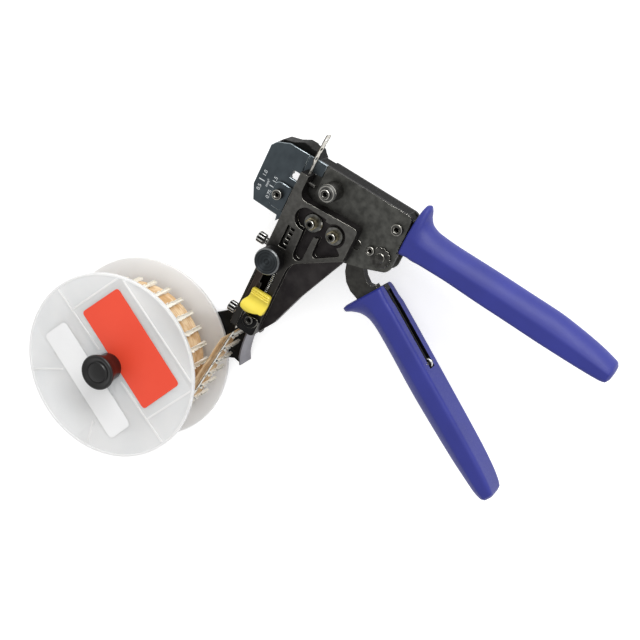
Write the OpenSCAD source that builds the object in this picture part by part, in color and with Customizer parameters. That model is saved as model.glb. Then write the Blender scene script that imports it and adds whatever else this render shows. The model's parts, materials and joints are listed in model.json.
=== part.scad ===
// Hand crimp tool with a strip feeder and a terminal reel.
// Datum: main bolt axis at X = Y = 0, rear face of the bolt head at Z = 0.
// +X runs along the body towards the grips, +Z is the front of the tool.

/* [Body] */
// Thickness over both cheek plates
body_t = 12; // [11:0.5:14]
// Thickness of one cheek plate
cheek_t = 2; // [1.5:0.1:2.5]
// Top edge of the body above the datum line
body_top = 11.5; // [11:0.1:12.5]
// Length of the body behind the main bolt
body_len = 42.3; // [42:0.1:42.5]
// Height of the rear head of the main bolt
foot_h = 3.5; // [2:0.1:6]
// Radius of the main bolt shank
bolt_r = 3.5; // [2.5:0.1:3.8]
// Height of the front post above the cheek
post_h = 11; // [6:0.5:16]
// Radius of the front post
post_r = 4.8; // [4.2:0.1:5.2]

/* [Crimp head] */
// Width of the open crimp nest
nest_w = 6.4; // [6.2:0.1:6.6]
// Closing stroke of the ram
stroke = 6; // [5:0.1:6.1]
// Height of the dies
die_h = 9; // [7:0.5:10]
// Thickness of the marked cover plate
cover_t = 2; // [1:0.1:2.5]

/* [Handle] */
// Thickness of the handle lever
lever_t = 5; // [4:0.1:6]
// Crank radius that drives the ram
crank_r = 14.4; // [13.8:0.1:14.6]
// Radius of the handle hinge pin
hinge_r = 2.6; // [2:0.1:3.2]
// Tip radius of the ratchet sector
sector_r = 20.6; // [19:0.1:20.8]
// Half width of the grips at the middle
grip_half = 9.5; // [8.5:0.1:11]
// Width of the slot in the lower grip
grip_slot = 6; // [5.6:0.1:8]

/* [Feeder] */
// Height of the bracket's front face above the cheek
bracket_t = 8; // [6:0.5:10]
// Thickness of the bracket's thin web
web_t = 4; // [3:0.1:5]
// Travel of the yellow thumb slide
slide_travel = 9; // [5:0.5:10]
// Radius of the clamp knob
knob_r = 7; // [5:0.1:8]
// Height of the clamp knob
knob_h = 8; // [5:0.1:10]

/* [Reel] */
// Diameter of the reel flanges
reel_d = 101.4; // [92:0.2:103]
// Width over both flanges
reel_w = 39.4; // [34:0.2:44]
// Thickness of a flange
flange_t = 1.6; // [1:0.1:3]
// Radius of the wound stock
stock_r = 39.5; // [25:0.5:42]
// Number of wound terminals in the outer layer
stock_n = 28; // [12:1:34]
// Radius of the spindle
spindle_r = 5; // [3:0.1:7]
// Radius of the reel knob
reel_knob_r = 9.6; // [8.6:0.2:16]
// Length of the terminals
term_len = 16.7; // [12:0.1:18]

/* [Hidden] */

fit = 0.05;
gap = 0.3;
half_t = body_t / 2;
inner_t = half_t - cheek_t;
mid_z = half_t + foot_h;
bolt_y = 2.7;
face_z = half_t + bracket_t;

hinge = [body_len - 20.3, -15.5];
crank_a = 78;
crank = hinge + crank_r * [cos(crank_a), sin(crank_a)];
dial = [body_len - 6.3, -14.6];
lock_screw = dial - [6, -0.6];
lock_r = 2.3;
frame_screw = [body_len - 5.2, 2.5];
pawl_r = 1.9;
studs = [[-1.3, -16.2], [11.3, -16.2]];

nest_x = -25.6;
ram_nose = nest_x + nest_w;
rail_l = -17.3;
rail_r = -2.5;
rail_bottom = -85.6;
strip_x = -14.9;
carrier_z = [half_t + 0.3, half_t + 4.3];
term_z = carrier_z[0] - term_len;

reel = [-63.9, -142];
reel_mid = 4.5;
reel_z1 = reel_mid + reel_w / 2;
reel_z0 = reel_mid - reel_w / 2;
arm_t = 2.5;
arm_z1 = reel_z0 - 0.8;
arm_z0 = arm_z1 - arm_t;

steel = "#3a3a38";
dark = "#2c2c2b";
cover_col = "#3a4146";
grip_col = "#4440a0";
zinc = "#8d8b84";

// Moves a shape drawn about the body's centre line to the datum
module lay() { translate([0, -bolt_y, mid_z]) children(); }

// A flat shape extruded between two heights
module slab(z0, z1) { translate([0, 0, z0]) linear_extrude(z1 - z0) children(); }

// A round bar standing on point p between two heights
module bar(p, r, z0, z1) { translate([p[0], p[1], z0]) cylinder(r = r, h = z1 - z0, $fn = 48); }

// A round bar along X at height z
module bar_x(y, z, r, x0, x1) {
    translate([x0, y, z]) rotate([0, 90, 0]) cylinder(r = r, h = x1 - x0, $fn = 40);
}

// A screw head with a hexagon socket
module cap_head(p, r, z0, z1, af) {
    difference() {
        turned(p, r, z0, z1, 0.3);
        translate([p[0], p[1], z1 - 1.4]) cylinder(r = af / sqrt(3), h = 2, $fn = 6);
    }
}

// A round bar whose top edge is chamfered by c
module turned(p, r, z0, z1, c) {
    translate([p[0], p[1], z0]) rotate_extrude($fn = 48)
        polygon([[0, 0], [r, 0], [r, z1 - z0 - c], [r - c, z1 - z0], [0, z1 - z0]]);
}

// Points along an arc about c
function arc(c, r, a0, a1, n) =
    [for (i = [0:n]) c + r * [cos(a0 + (a1 - a0) * i / n), sin(a0 + (a1 - a0) * i / n)]];

// A closed skin through rings of equal length
module loft(rings) {
    n = len(rings[0]);
    m = len(rings);
    polyhedron(
        points = [for (ring = rings) each ring],
        faces = concat(
            [[for (i = [0:n - 1]) i]],
            [for (j = [0:m - 2], i = [0:n - 1])
                [j * n + i, (j + 1) * n + i, (j + 1) * n + (i + 1) % n, j * n + (i + 1) % n]],
            [[for (i = [0:n - 1]) (m - 1) * n + n - 1 - i]]),
        convexity = 4);
}

// One cross-section of a grip: flat towards the palm gap, straight flanks up to a crease,
// and a crown above it that is part of an ellipse.
// s holds the station, the flat side, the crowned side, the half width and the crease.
function grip_ring(s) =
    let (half = s[3] * grip_k, r = 2.2, c = 60, crown = s[2] - s[4])
    concat(
        [for (i = [0:12]) let (a = c - c * i / 6)
            [s[0], s[4] + crown * (cos(a) - cos(c)) / (1 - cos(c)), half * sin(a) / sin(c)]],
        [for (a = [0:30:90]) [s[0], s[1] + r * (1 - sin(a)), -half + r * (1 - cos(a))]],
        [for (a = [90:-30:0]) [s[0], s[1] + r * (1 - sin(a)), half - r * (1 - cos(a))]]);

grip_k = grip_half / 9.5;

// Upper grip stations behind the body: flat side, crowned side, half width, crease
upper_x = body_len + 0.5;
upper_s = [[0, -7.7, 16.5, 7.5, 3.6], [0.8, -7.6, 19.0, 8.6, 3.6], [2.5, -7.3, 19.9, 9.1, 3.4],
           [3.8, -7.0, 18.4, 9.3, 3.2], [5.2, -6.8, 14.6, 9.5, 3.0], [7.7, -6.5, 11.0, 9.5, 2.6],
           [12.7, -6.2, 9.2, 9.5, 2.2], [24.7, -6.1, 8.4, 9.5, 1.8], [45.2, -6.9, 8.2, 9.3, 1.4],
           [65.2, -7.4, 7.7, 9.2, 0.8], [80.7, -7.6, 7.0, 9.0, 0.2], [95.9, -7.8, 5.3, 8.8, -0.8],
           [106.2, -7.9, 3.6, 8.4, -1.8], [113.2, -7.8, 1.9, 8.0, -2.6], [117.2, -7.3, 0.7, 7.4, -3.0],
           [118.2, -6.7, 0.1, 6.7, -3.0]];

// Lower grip stations along its own axis
lower_s = [[0, -3.0, 21.5, 7.5, 8.0], [0.8, -3.1, 23.6, 8.6, 8.0], [2.4, -3.2, 23.4, 9.1, 7.8],
           [4.2, -3.2, 20.0, 9.4, 7.4], [7.5, -3.2, 15.6, 9.5, 6.6], [12.5, -3.2, 12.4, 9.5, 5.8],
           [19, -3.2, 11.6, 9.5, 5.4], [29, -3.2, 11.5, 9.5, 5.2], [52, -3.2, 11.2, 9.3, 5.0],
           [75, -3.2, 10.6, 9.1, 4.8], [92, -3.1, 9.8, 8.9, 4.6], [105, -2.6, 8.7, 8.6, 4.4],
           [112, -1.9, 8.0, 8.2, 4.2], [117.2, -0.8, 7.2, 7.4, 4.0], [118.4, 0, 6.6, 6.6, 4.0]];

lower_at = hinge + [19.3, -14.7];
lower_a = -31.2;

// Places a child drawn along +X onto the lower grip's axis, crowned side down
module on_lower() { translate(lower_at) rotate(lower_a) mirror([0, 1, 0]) children(); }

module cheek_outline() {
    polygon(concat(
        [[-8.5, body_top], [-8.5, -27.3], [21, -27.3], [body_len - 10.4, -24]],
        arc(dial + [2.6, -2], 4.4, -71, 0, 6),
        [[body_len + 0.7, -9.6], [body_len, -8], [body_len - 0.8, body_top - 3]],
        arc([body_len - 3.8, body_top - 3], 3, 0, 90, 6)));
}

module cheek_holes() {
    translate([0, bolt_y]) circle(r = bolt_r + fit, $fn = 48);
    translate(hinge) circle(r = hinge_r + fit, $fn = 48);
    translate(frame_screw) circle(r = pawl_r + fit, $fn = 32);
}

module front_cheek() {
    color(steel) lay() slab(inner_t, half_t) difference() {
        cheek_outline();
        cheek_holes();
        translate(dial) circle(r = 2.5 + fit, $fn = 40);
        translate(lock_screw) circle(r = 1.3, $fn = 32);
        for (p = studs) translate(p) circle(r = 1.6, $fn = 32);
        // Fine notches in the edge beside the grip
        for (i = [0:6]) translate([body_len - 0.15, -1.6 - i * 1.15]) circle(r = 0.4, $fn = 16);
    }
}

module rear_cheek() {
    color(steel) lay() slab(-half_t, -inner_t) difference() {
        cheek_outline();
        cheek_holes();
    }
}

spine_y = bolt_y + bolt_r + 0.15;
tang_x = body_len + 95.7;
tang = [[body_len + 0.3, -4], [body_len + 0.3, 9.5], [body_len + 3.7, 9.2], [body_len + 7.7, 6.5],
        [body_len + 17.7, 3.6], [tang_x, 2.5], [tang_x, -4]];

// C-shaped head, spine between the cheeks and the tang inside the upper grip
module head_frame() {
    color(dark) lay() {
        slab(-inner_t, inner_t) {
            polygon([[-14, body_top], [-14, spine_y], [tang[0][0], spine_y],
                     [tang[0][0], tang[1][1]], [body_len - 0.8, body_top - 2], [body_len - 4, body_top]]);
            polygon(tang);
        }
        slab(-half_t, half_t - cover_t) polygon([
            [-14, body_top], [-15.5, 12.6], [-17, 14.5], [-20.5, 14.2], [-22, 14.9], [-25.5, 14.8],
            [-30, 12.3], [-36, 10.6], [-39.8, 6], [-39.8, -17.5], [-36.5, -24.5], [-28.2, -25],
            [-28.2, spine_y], [-14, spine_y]]);
    }
}

// Window over the nest in the marked cover
window_y = [-4.2, 0.3];

module head_cover() {
    color(cover_col) lay() slab(half_t - cover_t, half_t) polygon(concat(
        [[-19.4, body_top], [-31, 11.3]],
        [[-37.4, 8.6], [-40, 5.6], [-40, -17], [-36.6, -24.6], [-22, -25], [-21.4, -28.2], [-19.4, -25.4],
         [-19.4, window_y[0]], [-23.75, window_y[0]], [-23.75, window_y[1]], [-19.4, window_y[1]]]));
}

module bridge_cover() {
    color(cover_col) lay() slab(half_t - cover_t, half_t) polygon([
        [-19.1, body_top], [-19.1, -0.5], [-14.5, -0.5], [-14.5, 4.6], [-8.8, 4.6], [-8.8, body_top]]);
}

tab_t = 1.6;
tab_c = [-25, -14.2];

module locator_tab() {
    color(dark) lay() slab(half_t, half_t + tab_t) difference() {
        polygon(concat(
            [[-19.6, -8], [-19.6, -21.6]],
            arc([-25.4, -18], 3.6, -90, -180, 6),
            arc([-26, -11], 3, 180, 90, 6)));
        translate(tab_c) circle(r = 1.6, $fn = 32);
    }
}

module locator_screw() {
    color(zinc) lay() {
        cap_head(tab_c, 2.7, half_t + tab_t, half_t + tab_t + 2.6, 2.4);
        bar(tab_c, 1.5, half_t, half_t + tab_t);
    }
}

// Die with stepped crimp grooves, facing +X at the given plane
module die(x0, x1, side) {
    y0 = bolt_y - 5.2 - die_h / 2;
    slab(-3.4, 3.4) difference() {
        translate([x0, y0]) square([x1 - x0, die_h]);
        for (i = [0:2]) translate([side > 0 ? x1 : x0, y0 + 1.6 + i * die_h / 3.1])
            circle(r = 0.9 - 0.15 * i, $fn = 24);
    }
}

module anvil_die() { color(zinc) lay() die(-28.2, nest_x, 1); }

module main_bolt() {
    color(steel) lay() translate([0, bolt_y, 0]) rotate_extrude($fn = 64) polygon([
        [0, -mid_z], [6.4, -mid_z], [7, -mid_z + 0.6], [7, -half_t], [bolt_r, -half_t],
        [bolt_r, half_t], [post_r, half_t], [post_r, half_t + post_h - 1],
        [post_r - 1, half_t + post_h], [0, half_t + post_h]]);
}

module main_bolt_screw() {
    color(zinc) lay() cap_head([0, bolt_y], 2.5, half_t + post_h, half_t + post_h + 2, 2.4);
}

module cheek_screws() {
    color(zinc) lay() {
        cap_head(frame_screw, 3, half_t, half_t + 2, 2.6);
        bar(frame_screw, pawl_r, -half_t, half_t);
        bar(frame_screw, 1.5, -half_t - 2.6, -half_t);
    }
}

module cheek_nuts() {
    color(zinc) lay() difference() {
        translate([frame_screw[0], frame_screw[1], -half_t - 2.2]) cylinder(r = 3.2, h = 2.2, $fn = 6);
        bar(frame_screw, 1.5 + fit, -half_t - 3, -half_t + 1);
    }
}

dial_t = 1.2;

module adjusting_dial() {
    color(steel) lay() slab(half_t, half_t + dial_t) difference() {
        circle_at(dial, 5.4);
        for (i = [0:13]) translate(dial + 5.7 * [cos(i * 360 / 14), sin(i * 360 / 14)])
            circle(r = 0.75, $fn = 20);
        circle_at(dial, 2.5 + fit);
        circle_at(lock_screw, lock_r + fit);
    }
}

module circle_at(p, r) { translate(p) circle(r = r, $fn = 48); }

module eccentric_pin() {
    color(zinc) lay() bar(dial, 2.5, inner_t + 0.2, half_t + dial_t + 0.6);
}

module dial_lock_screw() {
    color(zinc) lay() {
        cap_head(lock_screw, lock_r, half_t, half_t + 2.2, 2);
        bar(lock_screw, 1.2, inner_t + 0.2, half_t);
    }
}

module handle_pin() {
    color(zinc) lay() bar(hinge, hinge_r, -half_t, half_t);
}

module upper_grip() {
    color(grip_col) lay() difference() {
        translate([upper_x, 0, 0]) loft([for (s = upper_s) grip_ring(s)]);
        slab(-inner_t, inner_t) polygon(tang);
    }
}

module bracket_outline() {
    polygon(concat(
        [[rail_l, 4.5], [rail_l, rail_bottom], [rail_r - 2, rail_bottom]],
        arc([rail_r - 2, rail_bottom + 2], 2, -90, 0, 5),
        arc([rail_r + 9.4, -45.4], 9.4, 180, 124, 6),
        [[21.7, -24]],
        arc([19.7, -8], 2, 0, 90, 5),
        arc([-8.6, -3.4], 4.2, -95, -180, 6),
        [[-12.8, 4.5]]));
}

// A slot along X through the bracket's plate, so that it can be set along the body
module plate_slot(p, reach, r) {
    slab(half_t - 1, face_z) {
        translate(p - [reach, 0]) circle(r = r, $fn = 32);
        translate(p + [reach, 0]) circle(r = r, $fn = 32);
        translate(p - [reach, r]) square([2 * reach, 2 * r]);
    }
}

// Pocket for the two washers, with room to slide the first one over
module stud_pocket() {
    circle_at([-4.9, -15.4], 5.8);
    translate([-4.9, -21.2]) square([9.9, 11.6]);
    circle_at([12.1, -15.1], 6.1);
    for (p = studs) circle_at(p, 5.6);
    translate([4, -20.6]) square([6, 9.8]);
}

// Two deeper pockets under the washers, with a rib between them
module lower_pockets() {
    polygon(concat([[-3.5, -20]], arc([-0.1, -33.9], 2.9, 180, 345, 8), [[3, -20]]));
    polygon([[5.5, -19], [5.9, -29], [6.5, -30.2], [7.6, -30.7], [9.2, -30.1], [18.6, -23.2],
             [18.9, -22.4], [18.4, -21.6], [15, -19]]);
}

module web_outline() {
    polygon([[rail_r, -20], [20, -20], [21.6, -24.6], [9.4, -54.4], [2.7, -75], [-1.3, rail_bottom + 4],
        [rail_r, rail_bottom + 2.2]]);
}

knob_at = [-10.5, -41.7];
rail_top = -29;
rail_screw_y = [-38.9, -80.1];
rail_screw_z = 8;
groove_z = 11.2;
groove_l = -16.4;
groove_r = -5.8;
groove_y0 = -71.3;
groove_y1 = -48.5;
narrow_r = -12.4;

// Cast bracket: post, ribbed plate and the front half of the feed rail
module feeder_bracket() {
    color(steel) lay() difference() {
        union() {
            slab(half_t, face_z) bracket_outline();
            slab(half_t, half_t + web_t) web_outline();
            slab(2, half_t) translate([rail_l, rail_bottom]) square([rail_r - rail_l, rail_top - rail_bottom]);
        }
        slab(washer_z0, face_z + 1) {
            stud_pocket();
            lower_pockets();
        }
        for (p = studs) plate_slot(p, 2.2, 1.6);
        // Channel for the terminals, slot for the carrier, groove for the slide
        slab(0, carrier_z[0]) translate([strip_x - 1.4, -100]) square([2.7, 72]);
        slab(carrier_z[0] - 1, carrier_z[1] + gap) translate([strip_x - 0.5, -100]) square([1.2, 120]);
        slab(groove_z, face_z + 1) {
            translate([groove_l, groove_y0]) square([groove_r - groove_l, groove_y1 - groove_y0]);
            translate([groove_l, groove_y1 - 1]) square([narrow_r - groove_l + 0.2, slide_travel + 1.5]);
            translate([-11.7, -35]) square([4.5, 12.3]);
        }
        bar(knob_at, 1.5 + fit, 9, face_z + 1);
        for (y = rail_screw_y) bar_x(y, rail_screw_z, 1.5, rail_l - 1, -16);
    }
}

back_r = -8.6;
arm_at = [[-11.2, -40], [-11.2, -68]];

// Slotted leaf in the upper window that keeps the carrier down
module window_leaf() {
    color(zinc) lay() slab(groove_z, groove_z + 0.6) difference() {
        translate([-11.4, -34.7]) square([3.9, 11.7]);
        for (i = [0:3]) translate([-10.2, -33.4 + i * 2.7]) square([2.2, 1.3]);
    }
}

// Rear half of the feed rail
module rail_back() {
    color(dark) lay() difference() {
        slab(arm_z1, 2) translate([rail_l, rail_bottom]) square([back_r - rail_l, rail_top - rail_bottom]);
        slab(term_z - 1, 3) translate([strip_x - 1.4, -100]) square([2.7, 80]);
        for (p = arm_at) bar(p, 1.6, arm_z1 - 1, arm_z1 + 6);
    }
}

washer_z0 = half_t + web_t;
nut_z0 = washer_z0 + 1.2;
nut_z1 = nut_z0 + 2.2;

module feeder_screws() {
    color(zinc) lay() for (p = studs) {
        cap_head(p, 2.2, nut_z1, face_z + 1.4, 2.2);
        translate([p[0], p[1], nut_z0]) cylinder(r = 3.3, h = nut_z1 - nut_z0, $fn = 6);
        bar(p, 1.5, inner_t, nut_z0);
    }
}

module feeder_washers() {
    color(zinc) lay() for (p = studs) difference() {
        bar(p, 5, washer_z0, nut_z0);
        bar(p, 1.5 + fit, washer_z0 - 1, nut_z0 + 1);
    }
}

module stop_pin() { color(zinc) lay() bar_x(-0.2, 9, 1.1, -12.8, -9); }

block_z1 = face_z + 1.6;
boss_z1 = block_z1 + 0.7;
block_top = -75.2;
block_at = [-7.5, -77.4];

// Block at the foot of the rail, with a round boss under its screw
module guide_block() {
    color(dark) lay() difference() {
        union() {
            slab(face_z, block_z1) polygon(concat(
                [[-13.2, block_top], [-13, rail_bottom + 1.4], [-12, rail_bottom + 0.3]],
                arc([rail_r - 2.2, rail_bottom + 2.5], 2.2, -90, 0, 5),
                [[rail_r, -77], [-4.4, block_top]]));
            intersection() {
                bar(block_at, 4.4, block_z1, boss_z1);
                slab(block_z1, boss_z1) translate([-13, block_top - 10]) square([12, 10]);
            }
        }
        bar(block_at, 1.5 + fit, face_z - 1, boss_z1 + 1);
    }
}

module block_screw() {
    color(dark) lay() {
        cap_head(block_at, 2.2, boss_z1, boss_z1 + 1.6, 2.2);
        bar(block_at, 1.5, face_z, boss_z1);
    }
}

module reel_arm() {
    color(dark) lay() slab(arm_z0, arm_z1) difference() {
        union() {
            polygon([[back_r, -32], [rail_l, -32], [rail_l, -84.5], [-28.6, -94.1], [-36, -101],
                     reel + [-4, 18], reel + [-14, 0], reel + [6, -13], [-18.5, -119.5], [-15.8, -118.1],
                     [-12.6, -118.6], [-8.8, -113.6], [-11, -109.5], [-12.2, -105], [-12.2, -92],
                     [back_r, -84]]);
            translate(reel) circle(r = 14, $fn = 64);
        }
        translate(reel) circle(r = spindle_r, $fn = 48);
        for (p = arm_at) translate(p) circle(r = 1.6, $fn = 32);
    }
}

// Curved sheet wall that steers the strip into the rail
module strip_guide() {
    color("#6b6b70") lay() slab(arm_z1, arm_z1 + 12.5) polygon([
        [-12.1, -86.8], [-12.1, -97], [-11.7, -101.5], [-11.1, -105.5], [-10.1, -109.5], [-7.8, -113.4],
        [-7, -112.8], [-9.1, -109], [-10.1, -105.3], [-10.7, -101.4], [-11.1, -97], [-11.1, -86.8]]);
}

module arm_screws() {
    color(zinc) lay() for (p = arm_at) {
        cap_head_back(p, 2.2, arm_z0 - 2, arm_z0);
        bar(p, 1.5, arm_z0, arm_z1 + 5);
    }
}

module cap_head_back(p, r, z0, z1) {
    difference() {
        bar(p, r, z0, z1);
        translate([p[0], p[1], z0 - 0.6]) cylinder(r = 1.4, h = 2, $fn = 6);
    }
}

knob_z0 = reel_z1 + gap;
knob_z1 = 37.5;

module reel_spindle() {
    color(zinc) lay() {
        bar(reel, spindle_r, arm_z0, knob_z0 + 6);
        difference() {
            bar(reel, 8, arm_z0 - 2, arm_z0);
            translate([reel[0], reel[1], arm_z0 - 2.6]) cylinder(r = 3, h = 2, $fn = 6);
        }
        difference() {
            bar(reel, 8, arm_z1, reel_z0 - gap);
            bar(reel, spindle_r - 1, arm_z1 - 1, reel_z0);
        }
    }
}

pitch = 9;
strip_low = reel + [42.7, -4];
strip_a = atan2(rail_bottom - 3 - strip_low[1], strip_x - strip_low[0]);

// One open-barrel terminal standing on its tip, joined to the carrier at the top
module terminal() {
    difference() {
        translate([-0.9, -0.9, 0]) cube([1.8, 1.8, term_len - 3]);
        translate([-0.5, -0.6, term_len - 8]) cube([2, 1.2, 6]);
    }
    translate([-0.12, -0.5, 1]) cube([0.24, 1, term_len - 0.8]);
}

// Carrier with pilot holes, terminals hanging behind it and the empty tail
module terminal_strip() {
    color("#c8c8c6") lay() difference() {
        union() {
            slab(carrier_z[0], carrier_z[1]) polygon([
                strip_low - [0.15, 0], strip_low + [0.15, 0], [strip_x + 0.15, rail_bottom - 3],
                [strip_x + 0.15, 5], [strip_x + 1.4, 26.4], [strip_x + 1.1, 26.4], [strip_x - 0.15, 5],
                [strip_x - 0.15, rail_bottom - 3]]);
            for (i = [0:6]) translate([strip_x, -32 - i * pitch, term_z]) terminal();
            for (i = [0:5]) translate([strip_low[0], strip_low[1], term_z]) rotate(strip_a)
                translate([5.4 + i * pitch, 0, 0]) rotate(-90) terminal();
        }
        for (i = [0:11]) bar_x(-76 + i * pitch, carrier_z[0] + 2, 0.9, strip_x - 2, strip_x + 3);
    }
}

module paper_tape() {
    color("#d9b98c") lay() slab(term_z + 1, 15) polygon([
        reel + [41.4, -3], [-17.4, -96], [-17.2, -96], reel + [41.6, -3]]);
}

sector_teeth = 7;
sector_pitch = 4;

// Lever with hinge boss, crank horn, toothed sector, neck and the bar in the grip
module handle_lever() {
    color(steel) lay() difference() {
        union() {
            slab(-lever_t / 2, lever_t / 2) {
                circle_at(hinge, 6.4);
                translate(hinge) polygon([[-4.8, -4], [-1.3, -12], [0.2, -17], [3.2, -21.5], [7.2, -24.5],
                    [11.7, -26], [16, -29.1], [22.6, -24.5], [21.6, -17.5], [19, -15.7], [13.9, -16.3],
                    [10.3, -13.7], [8.2, -10.7], [6.4, -2.5]]);
                sector();
                on_lower() polygon([[-2, 0.8], [-2, 13.4], [6, 11], [14, 6.5], [100, 5], [100, -1],
                    [51, -1], [49, slot_v], [lug_u, slot_v], [lug_u, lug_v], [0.4, lug_v], [0.4, 0.8]]);
            }
            slab(-1.5, 1.5) {
                circle_at(crank, 4);
                circle_at(hinge, 6);
                polygon([crank + [-3.6, 0], hinge + [-5, 1], hinge + [5, 1], crank + [3.6, 0]]);
            }
        }
        bar(hinge, hinge_r + fit, -half_t, half_t);
        bar(crank, 2, -half_t, half_t);
        on_lower() rod(1 + fit);
    }
}

module sector() {
    polygon(concat(
        [hinge + [2, -3]],
        [hinge + 19 * [cos(8), sin(8)]],
        [for (i = [0:sector_teeth - 1], k = [0:1])
            let (a = 9 + (i + 0.85 * k) * sector_pitch, r = sector_r - 1.4 * k) hinge + r * [cos(a), sin(a)]],
        [hinge + 18.6 * [cos(38), sin(38)], hinge + [2, 5]]));
}

// Slot in the lower grip, open at the head end: where it stops along the grip, and its floor
slot_end = 47.5;
slot_v = 2.3;
eye = [44.8, -2.4];
// The spring's rod lies just under the palm face, in a lug of the lever
rod_v = -2;
lug_u = 3;
lug_v = rod_v - 1.4;

module lower_grip() {
    color(grip_col) lay() difference() {
        on_lower() loft([for (s = lower_s) grip_ring(s)]);
        on_lower() translate([-1, -4, -grip_slot / 2]) cube([slot_end + 1, 4 + slot_v, grip_slot]);
        on_lower() bar(eye, 1.2 + fit, -grip_slot / 2 - 1.6, grip_slot / 2 + 1.6);
        slab(-lever_t / 2, lever_t / 2) {
            on_lower() polygon([[-3, 0], [-3, 14], [6, 11], [14, 6.5], [100, 5], [100, -1], [51, -1],
                [49, slot_v], [0, slot_v]]);
            translate(hinge) polygon([[11.7, -26], [16, -29.1], [22.6, -24.5], [21.6, -17.5], [19, -15.7]]);
        }
    }
}

// Rings of a wire of radius r along a list of points
function sweep_rings(path, r, n) =
    [for (i = [0:len(path) - 1])
        let (t = path[min(i + 1, len(path) - 1)] - path[max(i - 1, 0)],
             d = t / norm(t),
             u0 = cross(d, abs(d[2]) > 0.9 ? [1, 0, 0] : [0, 0, 1]),
             u = u0 / norm(u0), v = cross(d, u))
        [for (k = [0:n - 1]) path[i] + r * (cos(360 * k / n) * u - sin(360 * k / n) * v)]];

// Straight rod of the return spring, from its seat in the lever to its eye
module rod(r) { bar_x(rod_v, 0, r, 1.2, eye[0] - 1.4); }

module return_spring() {
    color("#b9b9b4") lay() on_lower() {
        rod(1);
        translate(eye) rotate_extrude($fn = 40) translate([1.9, 0]) circle(r = 0.6, $fn = 16);
    }
}

module spring_pin() {
    color(zinc) lay() on_lower() bar(eye, 1.2, -grip_slot / 2 - 1.5, grip_slot / 2 + 1.5);
}

module crank_pin() { color(zinc) lay() bar(crank, 2, -inner_t + 0.2, inner_t - 0.2); }

ram_y0 = -8;
ram_y1 = 5.6;
ram_x1 = crank[0] + 6;

// Ram between the cheeks, slotted round the main bolt and forked for the lever
module ram() {
    color(steel) lay() difference() {
        slab(-inner_t + 0.15, inner_t - 0.15) polygon([
            [ram_nose + 4, ram_y0 + 2.4], [ram_nose + 4, ram_y1 - 2.2], [-13, ram_y1 - 2.2], [-11, ram_y1],
            [ram_x1 - 1.6, ram_y1], [ram_x1, ram_y1 - 2], [ram_x1, -2], [ram_x1 - 6, ram_y0], [7, ram_y0],
            [4.5, ram_y0 - 2], [-11.5, ram_y0 - 2], [-13.5, ram_y0]]);
        slab(-half_t, half_t) {
            circle_at([0, bolt_y], bolt_r + gap / 2);
            circle_at([stroke, bolt_y], bolt_r + gap / 2);
            translate([0, bolt_y - bolt_r - gap / 2]) square([stroke, 2 * bolt_r + gap]);
            circle_at(crank + [0, 0.45], 2 + fit);
            circle_at(crank - [0, 0.2], 2 + fit);
            translate(crank - [2 + fit, 0.2]) square([4 + 2 * fit, 0.65]);
        }
        slab(-1.65, 1.65) translate([crank[0] - 7.5, ram_y0 - 1]) square([20, crank[1] - ram_y0 + 5.9]);
    }
}

module ram_die() { color(zinc) lay() die(ram_nose, ram_nose + 4, -1); }

pawl_at = frame_screw;
nose_a = 36;
nose = hinge + (sector_r + 0.3) * [cos(nose_a), sin(nose_a)];

module pawl() {
    color(zinc) lay() slab(-1.9, 1.9) difference() {
        union() {
            circle_at(pawl_at, 2.6);
            polygon([pawl_at + [-2.4, -1], nose + [-0.3, 0.6], nose, nose + [1.6, 0.2], pawl_at + [2.5, 0]]);
        }
        circle_at(pawl_at, pawl_r + fit);
    }
}

rib_h = 0.4;

module rib(p, q) {
    d = q - p;
    translate(p) rotate(atan2(d[1], d[0])) translate([0, -0.45]) square([norm(d), 0.9]);
}

// Moulded lines on a flange's outer face, about the reel's axis: a frame for the large label,
// and two that run out to the rim
module flange_ribs() {
    intersection() {
        circle(r = reel_d / 2 - 1.6, $fn = 96);
        difference() {
            union() {
                rib([-20, 51.3], [52, 16.4]);
                rib([-50, 24.1], [50, -23.3]);
                rib([31, -15], [49, 19.5]);
                rib([-32.2, 16.4], [-14, 49.6]);
                rib([-44, -31.3], [-24, -18]);
                rib([4, -34.5], [6.5, -50]);
            }
            circle(r = 10.5, $fn = 48);
        }
    }
    difference() {
        circle(r = reel_d / 2, $fn = 128);
        circle(r = reel_d / 2 - 1.2, $fn = 128);
    }
}

module flange(z0, rib_z) {
    difference() {
        bar(reel, reel_d / 2, z0, z0 + flange_t);
        bar(reel, spindle_r + fit, z0 - 1, z0 + flange_t + 1);
    }
    translate([reel[0], reel[1], rib_z]) linear_extrude(rib_h) flange_ribs();
}

module reel_front_flange() { color("#e6e9e9") lay() flange(reel_z1 - flange_t, reel_z1); }

module reel_rear_flange() { color("#e6e9e9") lay() flange(reel_z0, reel_z0 - rib_h); }

module reel_hub() {
    color("#e6e9e9") lay() difference() {
        bar(reel, 18, reel_z0 + flange_t, reel_z1 - flange_t);
        bar(reel, spindle_r + fit, reel_z0, reel_z1);
    }
}

module wound_paper() {
    color("#d9b98c") lay() difference() {
        bar(reel, stock_r, -8.3, 16);
        bar(reel, 18, -9, 17);
    }
}

module wound_terminals() {
    color("#e8e6df") lay() for (i = [0:stock_n - 1])
        translate([reel[0], reel[1], term_z]) rotate(i * 360 / stock_n)
            translate([stock_r, -0.8, 0]) cube([1.6, 1.6, term_len]);
}

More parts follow.
